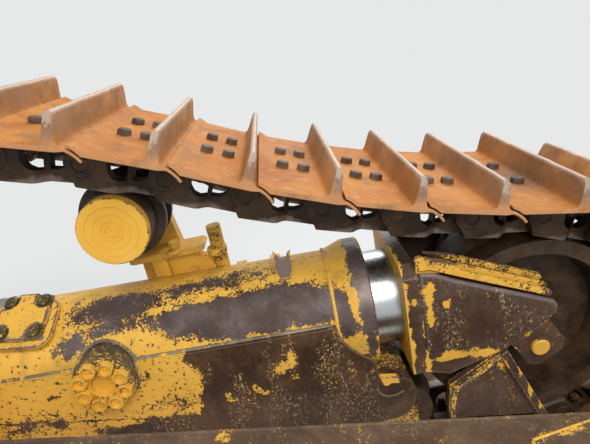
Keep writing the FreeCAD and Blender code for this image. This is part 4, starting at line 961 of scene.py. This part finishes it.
# Pivot shaft: a forged bar with a ground seat, greased against rust.
shaft_steel = cast_steel("greased_shaft_steel", (0.16, 0.14, 0.12, 1), (0.32, 0.3, 0.28, 1),
                         (0.62, 0.61, 0.6, 1), 0.34)
coat("pivot_shaft", shaft_steel)

# Chains: forged and hardened links in two rows, each row's front end inside the next one's rear,
# pressed on bushings and pins. They are dark with oil and earth, with rounded windows by the bolts.
def clamped(value):
    return min(max(value, 0), 1)


LINK_COUNT = 44
PITCH = 0.2159
bushing_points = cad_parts["track_bushings"].data.vertices
each = len(bushing_points) // LINK_COUNT
pins = []
for number in range(LINK_COUNT):
    group = [bushing_points[number * each + i].co for i in range(each)]
    pins.append(sum(group, Vector()) / each)


def link_place(start, end):
    """A link's place between two pins: its x runs along it, and its z points out of the loop."""
    along, middle = (end - start).normalized(), (start + end) / 2
    return Matrix(((along.x, 0, -along.z, middle.x), (0, 1, 0, TRACK_MIDDLE),
                   (along.z, 0, along.x, middle.z), (0, 0, 0, 1)))


link_places = [link_place(pins[number - 1], pins[number]) for number in range(LINK_COUNT)]
link_outline = mm([(-117, -66), (117, -66)] + arc_points(108, 0, 44, -54, 60, 7)
                  + [(68, 70), (-34, 70), (-50, 46)] + arc_points(-108, 0, 44, 70, 234, 8))
left_window = mm([(-43, 8), (-39, -10), (-28, -24), (-12, -31), (6, -32), (6, 38), (-36, 38),
                  (-43, 28)])
right_window = [(0.024 - x, z) for x, z in left_window]
LINK_THICK, STEP_IN, CHAIN_HALF, STEP_REACH = 0.036, 0.0363, 0.135, 0.02
link = thickened(filled(link_outline, left_window, right_window), -CHAIN_HALF,
                 LINK_THICK - CHAIN_HALF)
for place in (-1.0, -0.4, 0.4, 1.0):
    sliced(link, (STEP_REACH * place, 0, 0), (1, 0, 0))
for vert in link.verts:
    share = clamped(vert.co.x / STEP_REACH / 2 + 0.5)
    vert.co.y += STEP_IN * share * share * (3 - 2 * share)
bevelled(link, sharp_edges(link, 40), 0.0035)
link_rub = marks(link)
for vert in link.verts:
    vert[link_rub] = 0.75 if vert.co.z < -0.0655 else 0.0
chain_steel = cast_steel("oily_chain_steel", (0.026, 0.013, 0.005, 1), (0.085, 0.045, 0.022, 1),
                         (0.2, 0.155, 0.125, 1), 0.5, 0.35)
pin_end = spun_across(mm([
    (-136.5, 0), (-135.8, 6), (-136.5, 8), (-136.5, 18), (-134.5, 22), (-100, 22), (-100, 0)]),
    18, -PITCH / 2, 0)
link_boss = spun_across(mm([
    (-137.5, 23.5), (-137.5, 36), (-133, 40), (-120, 40), (-120, 23.5)]), 22, -PITCH / 2, 0)
near_link = joined(link, pin_end, link_boss)
far_link = faced_out(placed(near_link.copy(), Matrix.Diagonal((1, -1, 1, 1))))
put("forged_links_outer", placed(near_link, *link_places), chain_steel, "chain_steel",
    "track_links_outer")
put("forged_links_inner", placed(far_link, *link_places), chain_steel, "chain_steel",
    "track_links_inner")
bushing = spun_across(mm([
    (-62.4, 0), (-62.4, 31), (-60.4, 33), (60.4, 33), (62.4, 31), (62.4, 0)]), 24, PITCH / 2, 0)
put("round_bushings", placed(bushing, *link_places), chain_steel, "chain_steel",
    "track_bushings")

# Track shoes: rolled steel plates with one tall bar, a curled rear lip and a tail that slides under
# the next shoe's lip, each held by four hexagon bolts. They are orange with rust, scuffed paler on
# the bars, and their tips are worn wavy and bright.
SHOE_HALF = 0.305
BAR_FOOT, BAR_TIP, END_BEND = 0.092, 0.146, 0.2669
shoe_outline = mm(
    [(-85, 88), (-69, 81.5), (-54, 71), (112, 71)]
    + arc_points(108, 0, 78.5, 72, 41, 4) + arc_points(108, 0, 86, 41, 81, 5)
    + [(117, 91), (114, 101), (107.5, 150), (105.5, 158), (101, 162), (95, 162), (91, 158),
       (90, 150), (86.5, 104), (84.6, 93), (81.5, 87.5), (76, 84), (-52, 84), (-60, 86),
       (-72, 92), (-82, 96), (-87, 94)])
shoe = flame_cut(shoe_outline, -SHOE_HALF, SHOE_HALF)
for number in range(-1, 18):
    y = SHOE_HALF * (number / 8 - 1)
    if abs(y) > SHOE_HALF:
        y = math.copysign(SHOE_HALF - 0.007, y)
    sliced(shoe, (0, y, 0), (0, 1, 0))
sliced(shoe, (0, 0, 0.118), (0, 0, 1))
shoe_rub, shoe_bar, shoe_end, shoe_inner = (marks(shoe, name)
                                            for name in ("rub", "bar", "end", "inner"))
for vert in shoe.verts:
    height, reach = vert.co.z, abs(vert.co.y)
    worn = vert[shoe_rub] * 0.32 if reach > SHOE_HALF - 0.004 else 0.0
    worn = max(worn, (height - BAR_TIP) / 0.014)
    worn = max(worn, max(0, reach - 0.262) / 0.043 * (height - 0.126) / 0.026)
    vert[shoe_rub] = clamped(worn)
    vert[shoe_bar] = clamped((height - BAR_FOOT) / 0.02)
    vert[shoe_end] = reach > SHOE_HALF - 0.0008
    vert[shoe_inner] = height < 0.0795
    near_end = clamped((reach - END_BEND) / (SHOE_HALF - END_BEND))
    vert.co.y -= math.copysign(max(0.0, height - BAR_TIP) * 1.1 * near_end, vert.co.y)
    if height > 0.149:
        vert.co.z += (noise.noise(Vector((vert.co.x * 9, vert.co.y * 14, 0))) - 0.45) * 0.0026
shoe_steel, shoe_shader, shoe_place, shoe_worn = new_material("rusty_shoe_steel")
bar = shoe_place.mark("bar")
cloud = shoe_place.noise(5.0, 6.0, 0.62).between(0.36, 0.66)
scuffs = shoe_place.noise(24.0, 8.0, 0.72, 0.6).between(0.52, 0.7)
soil = shoe_place.noise(9.0, 7.0, 0.7).between(0.5, 0.7)
grain = shoe_place.noise(130.0, 4.0, 0.7)
end = shoe_place.mark("end")
inner = shoe_place.mark("inner")
plate_tone = cloud.mix((0.37, 0.125, 0.015, 1), (0.52, 0.205, 0.034, 1))
bar_tone = cloud.mix((0.38, 0.17, 0.052, 1), (0.56, 0.285, 0.115, 1))
dust = shoe_place.noise(3.4, 6.0, 0.66).between(0.42, 0.6)
shoe_tone = bar.mix(plate_tone, bar_tone)
shoe_tone = (dust * (bar * 0.4 + 0.16)).mix(shoe_tone, (0.26, 0.16, 0.095, 1))
# A darker patch on the plates of the shoes over the front idler.
front_dark_patch = shoe_place.shaken(9.0, 0.1).spot((2.03, -0.49, 0.43), (0.16, 0.23, 0.09))
shoe_tone = (front_dark_patch * (1.0 - bar) * 0.72).mix(shoe_tone, (0.15, 0.092, 0.058, 1))
shoe_tone = (inner * 0.85).mix(shoe_tone, (0.085, 0.045, 0.022, 1))
shoe_tone = end.mix(shoe_tone, bar.mix((0.44, 0.215, 0.095, 1), (0.22, 0.135, 0.09, 1)))
shoe_tone = (scuffs * 0.34).mix(shoe_tone, (0.6, 0.35, 0.17, 1))
shoe_tone = (soil * 0.72).mix(shoe_tone, (0.2, 0.1, 0.042, 1))
tip = (shoe_worn * 1.15 + (grain - 0.5) * 1.6 + (scuffs - 0.5) * 0.25 - 0.42).between(0.0, 0.35)
set_shader(shoe_shader, Specular_IOR_Level=0.22,
           Base_Color=(tip * 0.6).mix(shoe_tone, (0.44, 0.36, 0.3, 1)), Metallic=tip * 0.2,
           Roughness=0.64 - tip * 0.2 + grain * 0.15 - scuffs * 0.1,
           Normal=(grain * 0.5 + cloud * 0.3 + scuffs * 0.3).bumped(0.35, 0.0012))
put("rolled_track_shoes", placed(shoe, *link_places), shoe_steel, "shoe_steel", "track_shoes")
shoe_bolt = cone(6, 0.0195, 0.018, 0.017, 0.0025)
BOLT_SEAT = 0.0838
shoe_bolts = placed(shoe_bolt, *[shift(x, y, BOLT_SEAT) for x in (-0.018, 0.041)
                                 for y in (-0.079, 0.079)])
head_steel = cast_steel("worn_head_steel", (0.055, 0.032, 0.022, 1), (0.16, 0.105, 0.075, 1),
                        (0.5, 0.44, 0.4, 1), 0.55, 0.4)
put("shoe_bolts", placed(shoe_bolts, *link_places), head_steel, "chain_steel", sharp=20)
nut = placed(joined(cone(6, 0.0172, 0.0172, 0.022, 0.002), cone(10, 0.0105, 0.0105, 0.031, 0.001)),
             twist(180, "X"))
shoe_nuts = placed(nut, *[shift(x, y * side, 0.038)
                          for x, y in ((-0.018, 0.117), (0.042, 0.0807)) for side in (-1, 1)])
put("shoe_nuts", placed(shoe_nuts, *link_places), chain_steel, "chain_steel", sharp=20)

# Studio: a pale floor under the shoes' bars that fades into the backdrop, soft light from above
# and a camera by the track.
BACKDROP = (0.8, 0.81, 0.81, 1)
floor_z = cad_box[0][2] - 0.002
floor_mesh = bmesh.new()
bmesh.ops.create_grid(floor_mesh, x_segments=1, y_segments=1, size=30,
                      matrix=shift(0, 0, floor_z))
floor_data = bpy.data.meshes.new("floor")
floor_mesh.to_mesh(floor_data)
floor_mesh.free()
floor = linked("floor", floor_data)


def seen_rays(wire):
    """1 for what the camera sees, also by way of metal and glass, and 0 for lighting."""
    return sum(wire.node("LightPath", out="Is %s Ray" % way)
               for way in ("Camera", "Glossy", "Transmission"))


floor_material, floor_shader, floor_place, _ = new_material("pale_floor")
set_shader(floor_shader, Base_Color=(0.74, 0.74, 0.73, 1), Roughness=0.9)
seen = seen_rays(floor_place)
distance = floor_place.spot((0.45, -0.6, floor_z), (4.2, 3.6, 1.0))
glow = floor_place.node("Emission", {}, {"Color": BACKDROP, "Strength": 1.0})
far_away = (1.0 - distance) * seen
surface = far_away.node("MixShader", {}, {0: far_away, 2: glow})
tree = floor_material.node_tree
tree.links.new(floor_shader.outputs[0], surface.socket.node.inputs[1])
tree.links.new(surface.socket, tree.nodes["Material Output"].inputs["Surface"])
floor_data.materials.append(floor_material)

world = bpy.data.worlds.new("studio")
bpy.context.scene.world = world
world.use_nodes = True
background = world.node_tree.nodes["Background"]
sky = Wire(world.node_tree)
seen = seen_rays(sky)
world.node_tree.links.new(seen.mix((0.88, 0.92, 1.0, 1), BACKDROP).socket,
                          background.inputs["Color"])
world.node_tree.links.new((seen * 0.5 + 0.5).socket, background.inputs["Strength"])


def soft_lamp(name, place, target, size, power, colour):
    lamp = bpy.data.lights.new(name, "AREA")
    lamp.shape, lamp.size, lamp.energy, lamp.color = "SQUARE", size, power, colour
    holder = linked(name, lamp)
    holder.location = place
    holder.rotation_euler = (Vector(target) - Vector(place)).to_track_quat("-Z", "Y").to_euler()


soft_lamp("key_lamp", (2.3, -4.0, 3.5), (1.1, -0.6, 0.2), 2.8, 225, (1.0, 0.96, 0.89))
soft_lamp("back_lamp", (3.0, 3.2, 3.4), (0.6, -0.4, 0.3), 3.0, 190, (0.97, 0.98, 1.0))

PHOTO_WIDTH = 590
FOCAL = 478
EYE_PLACE = (1.365, -1.843, 0.96)
VIEW_YAW, VIEW_PITCH, VIEW_ROLL = (math.radians(angle) for angle in (-0.5, 22.1, 11.7))
ahead = Vector((math.sin(VIEW_YAW) * math.cos(VIEW_PITCH),
                math.cos(VIEW_YAW) * math.cos(VIEW_PITCH), -math.sin(VIEW_PITCH)))
level = Vector((math.cos(VIEW_YAW), -math.sin(VIEW_YAW), 0))
upright = level.cross(ahead)
right = level * math.cos(VIEW_ROLL) - upright * math.sin(VIEW_ROLL)
top = level * math.sin(VIEW_ROLL) + upright * math.cos(VIEW_ROLL)
eye = bpy.data.cameras.new("camera")
eye.sensor_width = 36
eye.lens = 36 * FOCAL / PHOTO_WIDTH
eye.clip_start = 0.05
camera = linked("camera", eye)
camera.matrix_world = shift(*EYE_PLACE) @ Matrix((right, top, -ahead)).transposed().to_4x4()
bpy.context.scene.camera = camera
bpy.context.scene.view_settings.view_transform = "Standard"
